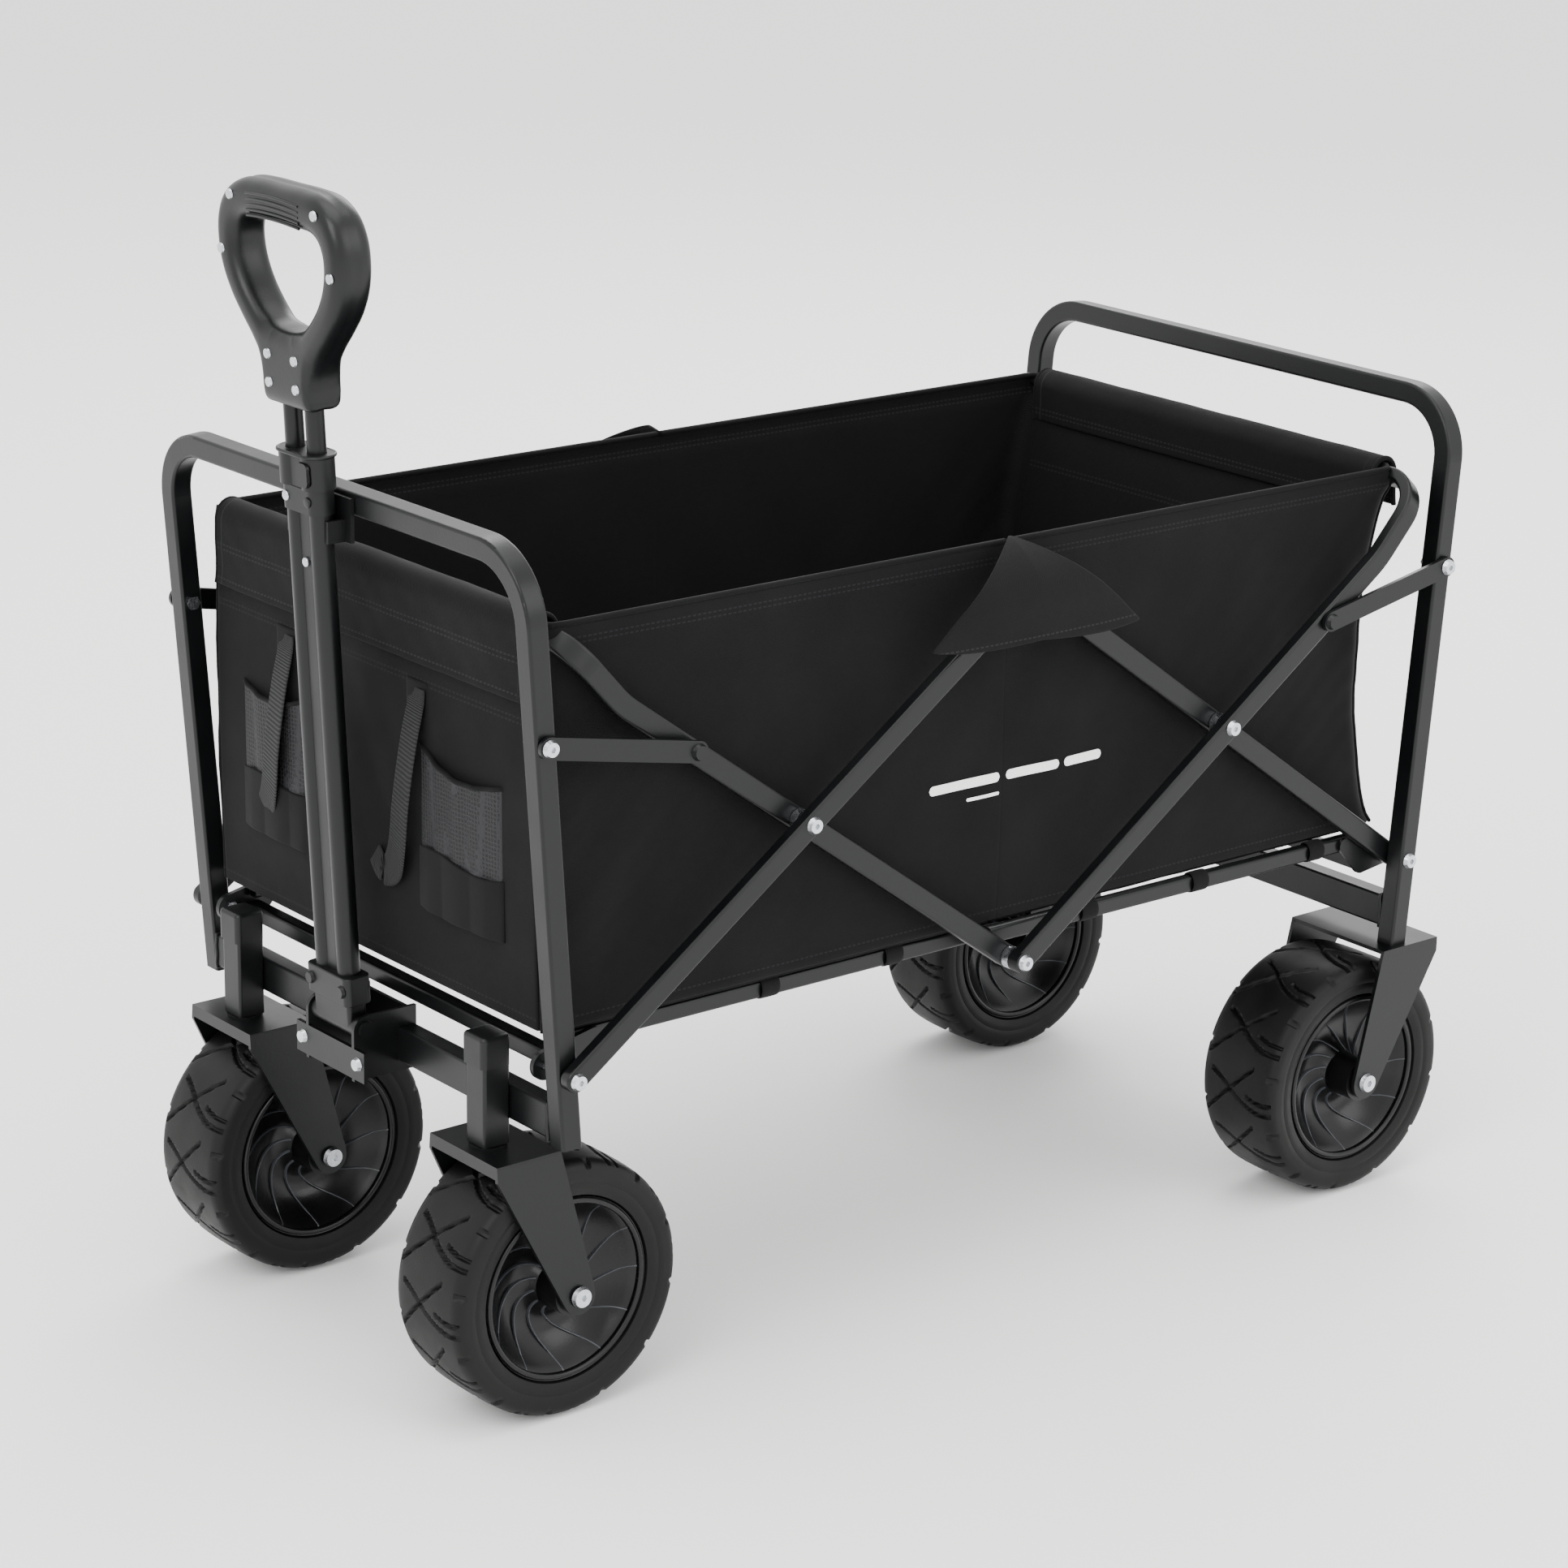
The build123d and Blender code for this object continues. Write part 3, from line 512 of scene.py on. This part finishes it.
def side_panel(side, half):
    """One half of a side, from the middle seam round the tub's corner to the end panel."""
    forward = 1 if half == "front" else -1
    corner = 12.0

    def place(u, v):
        z = HEM_Z + (RIM_Z - HEM_Z) * v
        end = (FRONT_X if forward > 0 else REAR_X) + forward * end_line(z, forward)
        run = abs(end - MIDDLE_X)
        along = -2.0 + u * (run + 16)
        x = MIDDLE_X + forward * min(along, run - corner)
        swell = 2.4 * sin(pi * v) * max(0.0, cos(pi / 2 * along / (run + 14))) ** 0.4
        crease = 1.6 * wrinkle(x / 64, z / 70, 2 * side) * sin(pi * v)
        crease += 1.2 * wrinkle(x / 31 + z / 40, z / 60, side) * sin(pi * v) * min(1, abs(along) / run) ** 2
        y = 198.6 + max(-3.0, min(4.2, swell + crease))
        if z > RIM_Z - 17:
            y += 1.3 * sin(pi * (z - RIM_Z + 17) / 17)
        if z < HEM_Z + 9:
            y += 0.9 * sin(pi * (z - HEM_Z) / 9)
        if along > run - corner:
            turn = min(pi / 2, (along - run + corner) / corner)
            x = MIDDLE_X + forward * (run - corner + corner * sin(turn))
            y -= corner * (1 - cos(turn)) + max(0.0, along - run - 7)
        return x, side * y, z

    name = "left" if side > 0 else "right"
    piece = shell(f"side_{half}_{name}", 96, 64, place, "side_cloth", f"tub_{half}", thickness=0.0022,
                  replaced=(f"side_panels_{half}",), smooth_levels=1)
    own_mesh(piece)
    rim = []
    for index in range(41):
        u = index / 40
        x, y, z = place(u, 1.0)
        rim.append((x, y, z + 0.4))
    cord = piping(f"rim_cord_{half}_{name}", rim, 2.1, "side_cloth", f"tub_{half}")
    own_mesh(cord)
    edge = [place(0.965, i / 40) for i in range(41)]
    piping(f"corner_cord_{half}_{name}", [(x + forward * 1.0, y + side * 1.6, z) for x, y, z in edge],
           1.5, "side_cloth", f"tub_{half}")


def end_panel(half):
    forward = 1 if half == "front" else -1
    bar = FRONT_BAR if forward > 0 else REAR_BAR
    end = FRONT_X if forward > 0 else REAR_X

    def place(u, v):
        y = 193 * (2 * u - 1)
        z = HEM_Z + (RIM_Z - 20 - HEM_Z) * v
        x = end + forward * (end_line(z, forward) + 1.2 * sin(pi * u))
        x += forward * 1.0 * wrinkle(y / 50, z / 55, forward) * sin(pi * u) * sin(pi * v)
        return x, y, z

    panel = shell(f"{half}_end_cloth", 90, 60, place, "end_cloth", f"tub_{half}", thickness=0.0022,
                  replaced=(f"{half}_panel",))

    low_out = 507.0 if forward > 0 else 528.0

    def roll(u, v):
        y = 187 * (2 * u - 1)
        pinch = 1 - 0.10 * (2 * u - 1) ** 8
        inner = 527.0
        radius = 12.6
        straight_out, arc, straight_in = bar.z - low_out, pi * radius, bar.z - inner
        at = v * (straight_out + arc + straight_in)
        ripple = 0.7 * wrinkle(y / 34, at / 22, 3 + forward)
        if at < straight_out:
            curl = 1.6 * max(0.0, 1 - at / 16) ** 2
            out, z = radius * pinch + curl + ripple * 0.6, low_out + at
        elif at < straight_out + arc:
            turn = (at - straight_out) / radius
            out, z = (radius * pinch + 0.4 * ripple) * cos(turn), bar.z + (radius + 0.3 * ripple) * sin(turn)
        else:
            out, z = -radius * pinch, bar.z - (at - straight_out - arc)
        return bar.x + forward * out, y, z

    flap = shell(f"{half}_rolled_flap", 100, 46, roll, "flap_cloth", f"tub_{half}", thickness=0.0026,
                 replaced=(f"{half}_flap",))
    for side in (0, 1):
        cord = [roll(side, i / 36) for i in range(37)]
        piping(f"{half}_flap_cord_{'left' if side else 'right'}", cord, 1.9, "flap_cloth", f"tub_{half}")


def pocket(name, low_y, high_y):
    """A bottle pocket: a gathered cloth band below and bulging knitted mesh above."""
    low_z, band_z, top_z = 337.0, 380.0, 452.0
    face = FRONT_X + 4.6

    def bulge(u, z):
        return 7.5 * sin(pi * u) ** 0.55 * (0.65 + 0.35 * (z - low_z) / (top_z - low_z))

    def net(u, v):
        y = low_y + (high_y - low_y) * u
        top = top_z - 10 * sin(pi * u) - 9 * (u if low_y > 0 else 1 - u)
        z = band_z - 4 + (top - band_z + 4) * v
        return face + bulge(u, z) + 0.5 * sin(9 * pi * u), y, z

    def band(u, v):
        y = low_y - 1 + (high_y - low_y + 2) * u
        z = low_z + (band_z - low_z) * v + 2.5 * sin(2 * pi * u) * v
        pleat = 1.4 * abs(sin(3 * pi * u)) * (1 - v * 0.4)
        return face + 0.8 + bulge(u, z) + pleat * min(1, 6 * u) * min(1, 6 * (1 - u)), y, z

    mesh = shell(f"pocket_net_{name}", 48, 36, net, "mesh", "tub_front", thickness=0.0009)
    cloth = shell(f"pocket_band_{name}", 60, 24, band, "plain_cloth", "tub_front", thickness=0.0018,
                  replaced=("bottle_pockets",))
    piping(f"pocket_hem_{name}", [net(i / 40, 1.0) for i in range(41)], 1.6, "plain_cloth", "tub_front")
    for u in (0.0, 1.0):
        piping(f"pocket_edge_{name}_{int(u)}", [net(u, i / 10) for i in range(11)], 1.3, "plain_cloth",
               "tub_front")


def strap(name, top_y):
    """A webbing loop: sewn to the panel at its top, it hangs clear and turns back under."""
    route = [(FRONT_X + 7, top_y, 489), (FRONT_X + 8, top_y, 478), (FRONT_X + 13, top_y - 2, 450),
             (FRONT_X + 16, top_y - 7, 410), (FRONT_X + 14, top_y - 15, 375), (FRONT_X + 10, top_y - 27, 356),
             (FRONT_X + 8, top_y - 42, 352), (FRONT_X + 7, top_y - 52, 360)]

    def along(t):
        """A smooth run through the route's points."""
        spot = t * (len(route) - 1)
        index = min(int(spot), len(route) - 2)
        part = spot - index
        before, a, b, after = (Vector(route[max(0, min(len(route) - 1, index + k))]) for k in (-1, 0, 1, 2))
        return 0.5 * (2 * a + (b - before) * part + (2 * before - 5 * a + 4 * b - after) * part ** 2
                      + (3 * a - before - 3 * b + after) * part ** 3)

    def place(u, v):
        here = along(v)
        ahead = along(min(1, v + 0.02)) - along(max(0, v - 0.02))
        width = Vector((0.12, 1, 0)).cross(ahead).cross(ahead).normalized() * -1
        if width.y < 0:
            width = -width
        return tuple(here + width * 23 * (u - 0.5))

    loop = shell(f"carry_strap_{name}", 6, 60, place, "webbing", "tub_front", thickness=0.0018)

    def patch(u, v):
        return FRONT_X + 6.2 + 0.8 * sin(pi * u), top_y + 26 * (u - 0.5), 468 + 26 * v

    shell(f"strap_patch_{name}", 8, 8, patch, "plain_cloth", "tub_front", thickness=0.0016)


def top_cap(side):
    """The cloth cap sewn under the rim, tented over the middle top joint."""
    name = "left" if side > 0 else "right"

    def place(u, v):
        spread = 2 * u - 1
        drop = 1 - v
        width = 96 * drop ** 0.85
        x = TOP.x + 8 * (1 - drop) * 0.6 + width * spread + 4 * drop
        z = RIM_Z + 6 - (72 - 6 * (1 - abs(spread)) - 3 * spread) * drop + 4 * sin(pi * drop)
        z += 8 * abs(spread) ** 3 * drop
        top_y = 205.5
        out = 37.2 * min(1.0, sin(pi / 2 * min(1, drop * 1.5)) ** 0.8)
        out *= 1 - 0.12 * abs(spread) ** 2.5
        return x, side * (top_y + out + 0.5 * wrinkle(3 * u, 3 * v, side) * drop), z

    piece = shell(f"joint_cap_{name}", 48, 30, place, "cap_cloth", None, thickness=0.0018,
                  replaced=(f"top_cap_{name}",))
    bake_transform(piece)


def floor_panel(half):
    """A stiffened floor half: two boards wrapped in cloth, with a fold between them."""
    low, high = box_mm(f"floor_{half}")
    forward = 1 if half == "front" else -1
    near = MIDDLE_X + forward * 1.0
    far = high.x if forward > 0 else low.x

    def place(u, v):
        x = near + (far - near) * u
        y = -194 + 388 * v
        edge = min(1.0, 14 * min(u, 1 - u), 14 * min(v, 1 - v))
        fold = 1 - max(0.0, 1 - (abs(u - 0.5) / 0.012) ** 2)
        z = high.z - 4.0 + 3.2 * sqrt(max(0.0, edge)) * (0.25 + 0.75 * fold)
        return x, y, z + 0.25 * wrinkle(x / 30, y / 34, 1)

    piece = shell(f"floor_cloth_{half}", 110, 110, place, "floor_cloth", f"base_{half}", thickness=0.0035,
                  replaced=(f"floor_{half}",), smooth_levels=0)


def hem_loops():
    """Short cloth loops that tie the sides' lower hems to the base rails."""
    for half, rail, outer in (("front", "base_front_frame", 193.2), ("rear", "base_rear_frame", 203.2)):
        low, high = box_mm(rail)
        forward = 1 if half == "front" else -1
        end = FRONT_X if forward > 0 else REAR_X
        loops = []
        for side in (1, -1):
            for distance in (70, 190, 300):
                x = end - forward * distance

                def place(u, v, x=x, side=side, outer=outer):
                    angle = 2 * pi * v
                    return (x + 16 * (u - 0.5), side * (outer - 4.5 + 6.2 * cos(angle)),
                            274.5 + 7.4 * sin(angle))

                loops.append(shell(f"loop_{half}_{side}_{distance}", 4, 24, place, "plain_cloth", None,
                                   thickness=0.0012, weld=True))
        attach(join(f"hem_loops_{half}", loops), f"base_{half}")


def printed_stripes():
    """Plain printed stripes in place of any mark, split where the side's two halves meet."""
    for half, bars in (("rear", ((-104, -68, 392, 7), (-63, -14, 392, 7))), ("front", (
            (-8, 56, 392, 7), (-8, 22, 380, 2.4)))):
        stripes = []
        for index, (low_x, high_x, middle, height) in enumerate(bars):
            def place(u, v, values=(low_x, high_x, middle, height)):
                a, b, z, tall = values
                x = a + (b - a) * u
                from_end = min(x - a, b - x, tall / 2)
                half_height = sqrt(max(0.0, (tall / 2) ** 2 - (tall / 2 - from_end) ** 2))
                up = z + half_height * (2 * v - 1)
                swell = 2.4 * sin(pi * (up - HEM_Z) / (RIM_Z - HEM_Z))
                crease = 1.6 * wrinkle(x / 64, up / 70, 2) * sin(pi * (up - HEM_Z) / (RIM_Z - HEM_Z))
                return x, 198.6 + 1.5 + max(-3.0, min(4.2, swell + crease)), up

            stripes.append(shell(f"stripe_{half}_{index}", 60, 2, place, "print", None,
                                 thickness=0.0003, smooth_levels=0))
        piece = join(f"printed_stripes_{half}", stripes)
        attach(piece, f"tub_{half}")
        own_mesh(piece)


# Trim

CLAMP_FRONT = 10.5
COLLAR_FRONT = 8.6
COLLAR_TOP = 401
TUBE_SPACING = 13


def on_handle(forward, left, up):
    """A place on the handle, in mm: forward of its axis, to its left and up from its pivot."""
    return SWING + FACING * forward + Vector((0, left, 0)) + UP * up


def stud(name, centre, direction, radius, height, material, body, sides=32):
    """A round head with a bevelled rim, standing on centre and facing direction."""
    fresh()
    bpy.ops.mesh.primitive_cylinder_add(vertices=sides, radius=radius / 1000, depth=height / 1000,
                                        location=(Vector(centre) + direction * height / 2) / 1000,
                                        rotation=direction.to_track_quat("Z", "Y").to_euler())
    piece = bpy.context.object
    bevel = piece.modifiers.new("rim", "BEVEL")
    bevel.width = height * 0.0004
    bevel.segments = 3
    bpy.ops.object.modifier_apply(modifier=bevel.name)
    return settle(name, material, body)


GRIP_DEPTH = 15.0
GRIP_OUTER = ((0, 578), (27, 578), (47, 576), (63, 567), (72, 552), (74, 534), (70.5, 516), (61.5, 499),
              (49, 484), (37, 471), (29, 459), (26.3, 447), (26, 437), (24.5, 432.4), (15, 432), (0, 432))
GRIP_HOLE = ((0, 552), (24, 552), (39, 551), (48, 546), (52, 537), (51.5, 526), (48, 516), (42, 506),
             (35, 498), (28, 491.5), (21, 487), (15, 484.6), (10, 483.5), (6, 483), (3, 482.8), (0, 482.8))


def outline(points, t):
    """A smooth closed run through one half's points and their mirror, t from 0 to 1, in mm."""
    whole = [Vector(point) for point in points]
    whole += [Vector((-x, up)) for x, up in points[-2:0:-1]]
    spot = t * len(whole)
    index, part = int(spot), spot - int(spot)
    before, a, b, after = (whole[(index + k) % len(whole)] for k in (-1, 0, 1, 2))
    return 0.5 * (2 * a + (b - before) * part + (2 * before - 5 * a + 4 * b - after) * part ** 2
                  + (3 * a - before - 3 * b + after) * part ** 3)


def grip_ring():
    """The moulded ring and neck: round where the hand goes, flatter at the neck, with a parting line."""
    def place(u, v):
        outer, hole = outline(GRIP_OUTER, u), outline(GRIP_HOLE, u)
        width = (outer - hole).length
        power = 2 / (2.9 + 2.2 * min(1.0, max(0.0, (width - 27) / 20)))
        turn = 2 * pi * v
        x, z = (abs(f(turn)) ** power * (1 if f(turn) > 0 else -1) for f in (cos, sin))
        notch = 0.5 if min(v, 1 - v) < 0.008 else 0.0
        spot = (outer + hole) / 2 + (outer - hole) / 2 * x * (1 - 2 * notch / width)
        return tuple(on_handle(GRIP_DEPTH * z, spot.x, spot.y))

    shell("grip_ring", 220, 72, place, "grip", "grip", smooth_levels=0, weld=True, smooth=45,
          replaced=("grip_shell_front", "grip_shell_rear"))


def handle_trim():
    grip_ring()
    for left in (19, -19):
        stud(f"clamp_bolt_{'left' if left > 0 else 'right'}", on_handle(CLAMP_FRONT, left, 27), FACING,
             3.4, 1.6, "zinc", "handle")
    stud("snap_pin", on_handle(3.9, 0, 326), FACING, 3.4, 3.0, "zinc", "handle")
    stud("collar_bolt", on_handle(COLLAR_FRONT, -TUBE_SPACING, 370), FACING, 3.6, 2.2, "zinc", "handle")
    stud("collar_rivet", on_handle(COLLAR_FRONT, TUBE_SPACING, 370), FACING, 3.6, 2.2, "plastic", "handle")
    ribs = []
    for index in range(5):
        offset = 556.5 + 3.6 * index
        points = [on_handle(15.0 - 0.6 * abs(t) ** 2, 31 * t, offset - 1.6 * t * t) for t in
                  (k / 8 - 1 for k in range(17))]
        ribs.append(piping(f"grip_rib_{index}", points, 1.0, "grip", None))
    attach(join("grip_ribs", ribs), "grip")
    band = []
    for index in range(65):
        angle = 2 * pi * index / 64
        left = TUBE_SPACING * (1 if sin(angle) > 0 else -1) if abs(sin(angle)) > 0.02 else 0
        band.append(on_handle(11.9 * cos(angle), left + 11.9 * sin(angle), COLLAR_TOP))
    piping("collar_rim", band, 1.3, "plastic", "handle", closed=True)


def weld_beads():
    """Rippled weld beads where the posts and legs meet the crossbars."""
    for half, node, width in (("front", "front_crossbar", 206.0), ("rear", "rear_crossbar", 217.0)):
        low, high = box_mm(node)
        beads = []
        for side in (1, -1):
            points = []
            for index in range(61):
                t = index / 60
                turn = 4 * t
                corner = int(min(3, turn))
                part = turn - corner
                ring = [(low.x, low.z), (high.x, low.z), (high.x, high.z), (low.x, high.z), (low.x, low.z)]
                (x0, z0), (x1, z1) = ring[corner], ring[corner + 1]
                points.append((x0 + (x1 - x0) * part, side * (width - 0.6 + 0.35 * sin(50 * t)),
                               z0 + (z1 - z0) * part))
            beads.append(piping(f"bead_{half}_{side}", points, 1.5, "steel", None))
        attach(join(f"weld_beads_{half}", beads), f"{half}_frame")


# Operators

class WAGON_OT_finishes(bpy.types.Operator):
    """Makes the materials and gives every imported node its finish"""
    bl_idname = "wagon.finishes"
    bl_label = "Finishes"

    def execute(self, context):
        colours, sizes = context.scene.wagon_colours, context.scene.wagon_sizes
        rows = [("Z", RIM_Z - 13), ("Z", RIM_Z - 9.5), ("Z", HEM_Z + 8)]
        MATERIALS.update({
            "steel": steel_material("satin_powder_coated_steel", colours.steel),
            "zinc": zinc_material(colours.zinc),
            "rubber": rubber_material(colours.rubber),
            "rim": plastic_material("gloss_moulded_polypropylene", "#070708", 0.30, 0.0016),
            # The ribs are the same black moulding as the rim; their lighter grey is a painted highlight along
            # the rib crests.
            "rib": plastic_material("rib_edges_painted_highlight", "#3c3e42", 0.22, 0.0016),
            "plastic": plastic_material("moulded_polypropylene", colours.plastic, 0.42, 0.0012),
            "grip": plastic_material("satin_moulded_abs", "#090a0b", 0.36, 0.0018),
            "side_cloth": cloth_material("coated_polyester_twill_side", colours.cloth, sizes.thread, rows),
            "end_cloth": cloth_material("coated_polyester_twill_end", colours.cloth, sizes.thread,
                                        [("Z", HEM_Z + 8), ("Z", 495), ("Z", 491.5)], "Y"),
            "flap_cloth": cloth_material("coated_polyester_twill_flap", "#09090a", sizes.thread,
                                         [("Z", 512), ("Z", 533), ("Z", 536.5), ("Y", 179), ("Y", -179)],
                                         "Y"),
            "cap_cloth": cloth_material("coated_polyester_twill_cap", "#09090a", sizes.thread,
                                        [("Z", 503.5)]),
            "floor_cloth": cloth_material("coated_polyester_twill_floor", colours.cloth, sizes.thread,
                                          [("Y", 186), ("Y", -186)]),
            "plain_cloth": cloth_material("coated_polyester_twill_plain", "#0a0a0b", sizes.thread),
            "webbing": webbing_material("#0c0c0d"),
            "mesh": mesh_material("#0c0c0e"),
            "print": print_material(colours.marks),
        })
        finish_nodes("steel", "")
        finish_nodes("zinc", "front_frame_bolts", "rear_frame_bolts", "front_strut_bolts", "rear_hoop_bolts",
                     "caster_axle", "rear_axles", "grip_screws")
        finish_nodes("rim", "rim_")
        finish_nodes("rubber", "tyre_")
        finish_nodes("plastic", "caster_post_caps", "handle_clip", "handle_foot", "handle_clamp",
                     "lock_collar", "release_button")
        finish_nodes("grip", "grip_shell")
        return {"FINISHED"}


class WAGON_OT_wheels(bpy.types.Operator):
    """Builds the four tyres with their tread and the ribs of the rims"""
    bl_idname = "wagon.wheels"
    bl_label = "Wheels"

    def execute(self, context):
        for end in ("front", "rear"):
            for side in ("left", "right"):
                build_wheel(f"{end}_{side}", pivot(f"wheel_{end}_{side}_spin"), context.scene.wagon_sizes)
        return {"FINISHED"}


class WAGON_OT_tub(bpy.types.Operator):
    """Builds the tub: sides, ends, rolled flaps, caps and floor"""
    bl_idname = "wagon.tub"
    bl_label = "Tub"

    def execute(self, context):
        for half in ("front", "rear"):
            end_panel(half)
            floor_panel(half)
            for side in (1, -1):
                side_panel(side, half)
        for side in (1, -1):
            top_cap(side)
        hem_loops()
        return {"FINISHED"}


class WAGON_OT_pockets(bpy.types.Operator):
    """Builds the bottle pockets, carrying straps and printed stripes"""
    bl_idname = "wagon.pockets"
    bl_label = "Pockets and straps"

    def execute(self, context):
        pocket("left", 62.0, 158.0)
        pocket("right", -158.0, -62.0)
        strap("left", 60.0)
        strap("right", -100.0)
        printed_stripes()
        return {"FINISHED"}


class WAGON_OT_trim(bpy.types.Operator):
    """Builds the handle's small fittings, the grip's ribs and the weld beads"""
    bl_idname = "wagon.trim"
    bl_label = "Trim"

    def execute(self, context):
        handle_trim()
        weld_beads()
        return {"FINISHED"}


class WAGON_OT_stage(bpy.types.Operator):
    """Builds the pale floor, the soft lights and the camera"""
    bl_idname = "wagon.stage"
    bl_label = "Stage"

    def execute(self, context):
        material, tree, shader = start("pale_floor", "#fbfbfa", 0.95)
        fresh()
        bpy.ops.mesh.primitive_plane_add(size=30, location=(0, 0, -0.0005))
        floor = bpy.context.object
        floor.name = "floor"
        floor.data.materials.append(material)
        world = bpy.data.worlds.new("soft_studio")
        world.use_nodes = True
        world.node_tree.nodes["Background"].inputs["Color"].default_value = (1, 1, 1, 1)
        world.node_tree.nodes["Background"].inputs["Strength"].default_value = 1.9
        context.scene.world = world
        for name, place, size, power in (("key", (2.6, 1.2, 2.6), 1.8, 60),
                                         ("side", (-1.2, 3.4, 2.2), 2.4, 55),
                                         ("rim", (-2.4, -2.2, 2.8), 2.0, 70),
                                         ("top", (0.2, 0.2, 3.4), 2.2, 45)):
            light = bpy.data.lights.new(name, "AREA")
            light.size = size
            light.energy = power
            lamp = bpy.data.objects.new(name, light)
            context.scene.collection.objects.link(lamp)
            lamp.location = place
            lamp.rotation_euler = (Vector((0, 0, 0.35)) - Vector(place)).to_track_quat("-Z", "Y").to_euler()
        place = Vector((1.9234, 2.3533, 1.2933))
        ahead = (Vector((-0.0102, -0.0393, 0.3239)) - place).normalized()
        right = ahead.cross(Vector((0, 0, 1))).normalized()
        up = right.cross(ahead)
        roll = radians(1.042)
        right, up = right * cos(roll) + up * sin(roll), up * cos(roll) - right * sin(roll)
        data = bpy.data.cameras.new("camera")
        data.sensor_width = 36
        data.lens = 99.49
        camera = bpy.data.objects.new("camera", data)
        context.scene.collection.objects.link(camera)
        camera.matrix_world = Matrix.Translation(place) @ Matrix((right, up, -ahead)).transposed().to_4x4()
        context.scene.camera = camera
        return {"FINISHED"}


OPERATORS = (WAGON_OT_finishes, WAGON_OT_wheels, WAGON_OT_tub, WAGON_OT_pockets, WAGON_OT_trim,
             WAGON_OT_stage)


class WAGON_PT_panel(bpy.types.Panel):
    bl_label = "Wagon"
    bl_idname = "WAGON_PT_panel"
    bl_space_type = "VIEW_3D"
    bl_region_type = "UI"
    bl_category = "Wagon"

    def draw(self, context):
        for settings in (context.scene.wagon_sizes, context.scene.wagon_colours):
            for name in settings.__annotations__:
                self.layout.prop(settings, name)
        for operator in OPERATORS:
            self.layout.operator(operator.bl_idname)


CLASSES = (WagonSizes, WagonColours, *OPERATORS, WAGON_PT_panel)


def register():
    for item in CLASSES:
        bpy.utils.register_class(item)
    bpy.types.Scene.wagon_sizes = bpy.props.PointerProperty(type=WagonSizes)
    bpy.types.Scene.wagon_colours = bpy.props.PointerProperty(type=WagonColours)


def unregister():
    del bpy.types.Scene.wagon_sizes
    del bpy.types.Scene.wagon_colours
    for item in reversed(CLASSES):
        bpy.utils.unregister_class(item)


def main():
    register()
    bpy.ops.wagon.finishes()
    bpy.ops.wagon.wheels()
    bpy.ops.wagon.tub()
    bpy.ops.wagon.pockets()
    bpy.ops.wagon.trim()
    bpy.ops.wagon.stage()


if __name__ == "__main__":
    main()
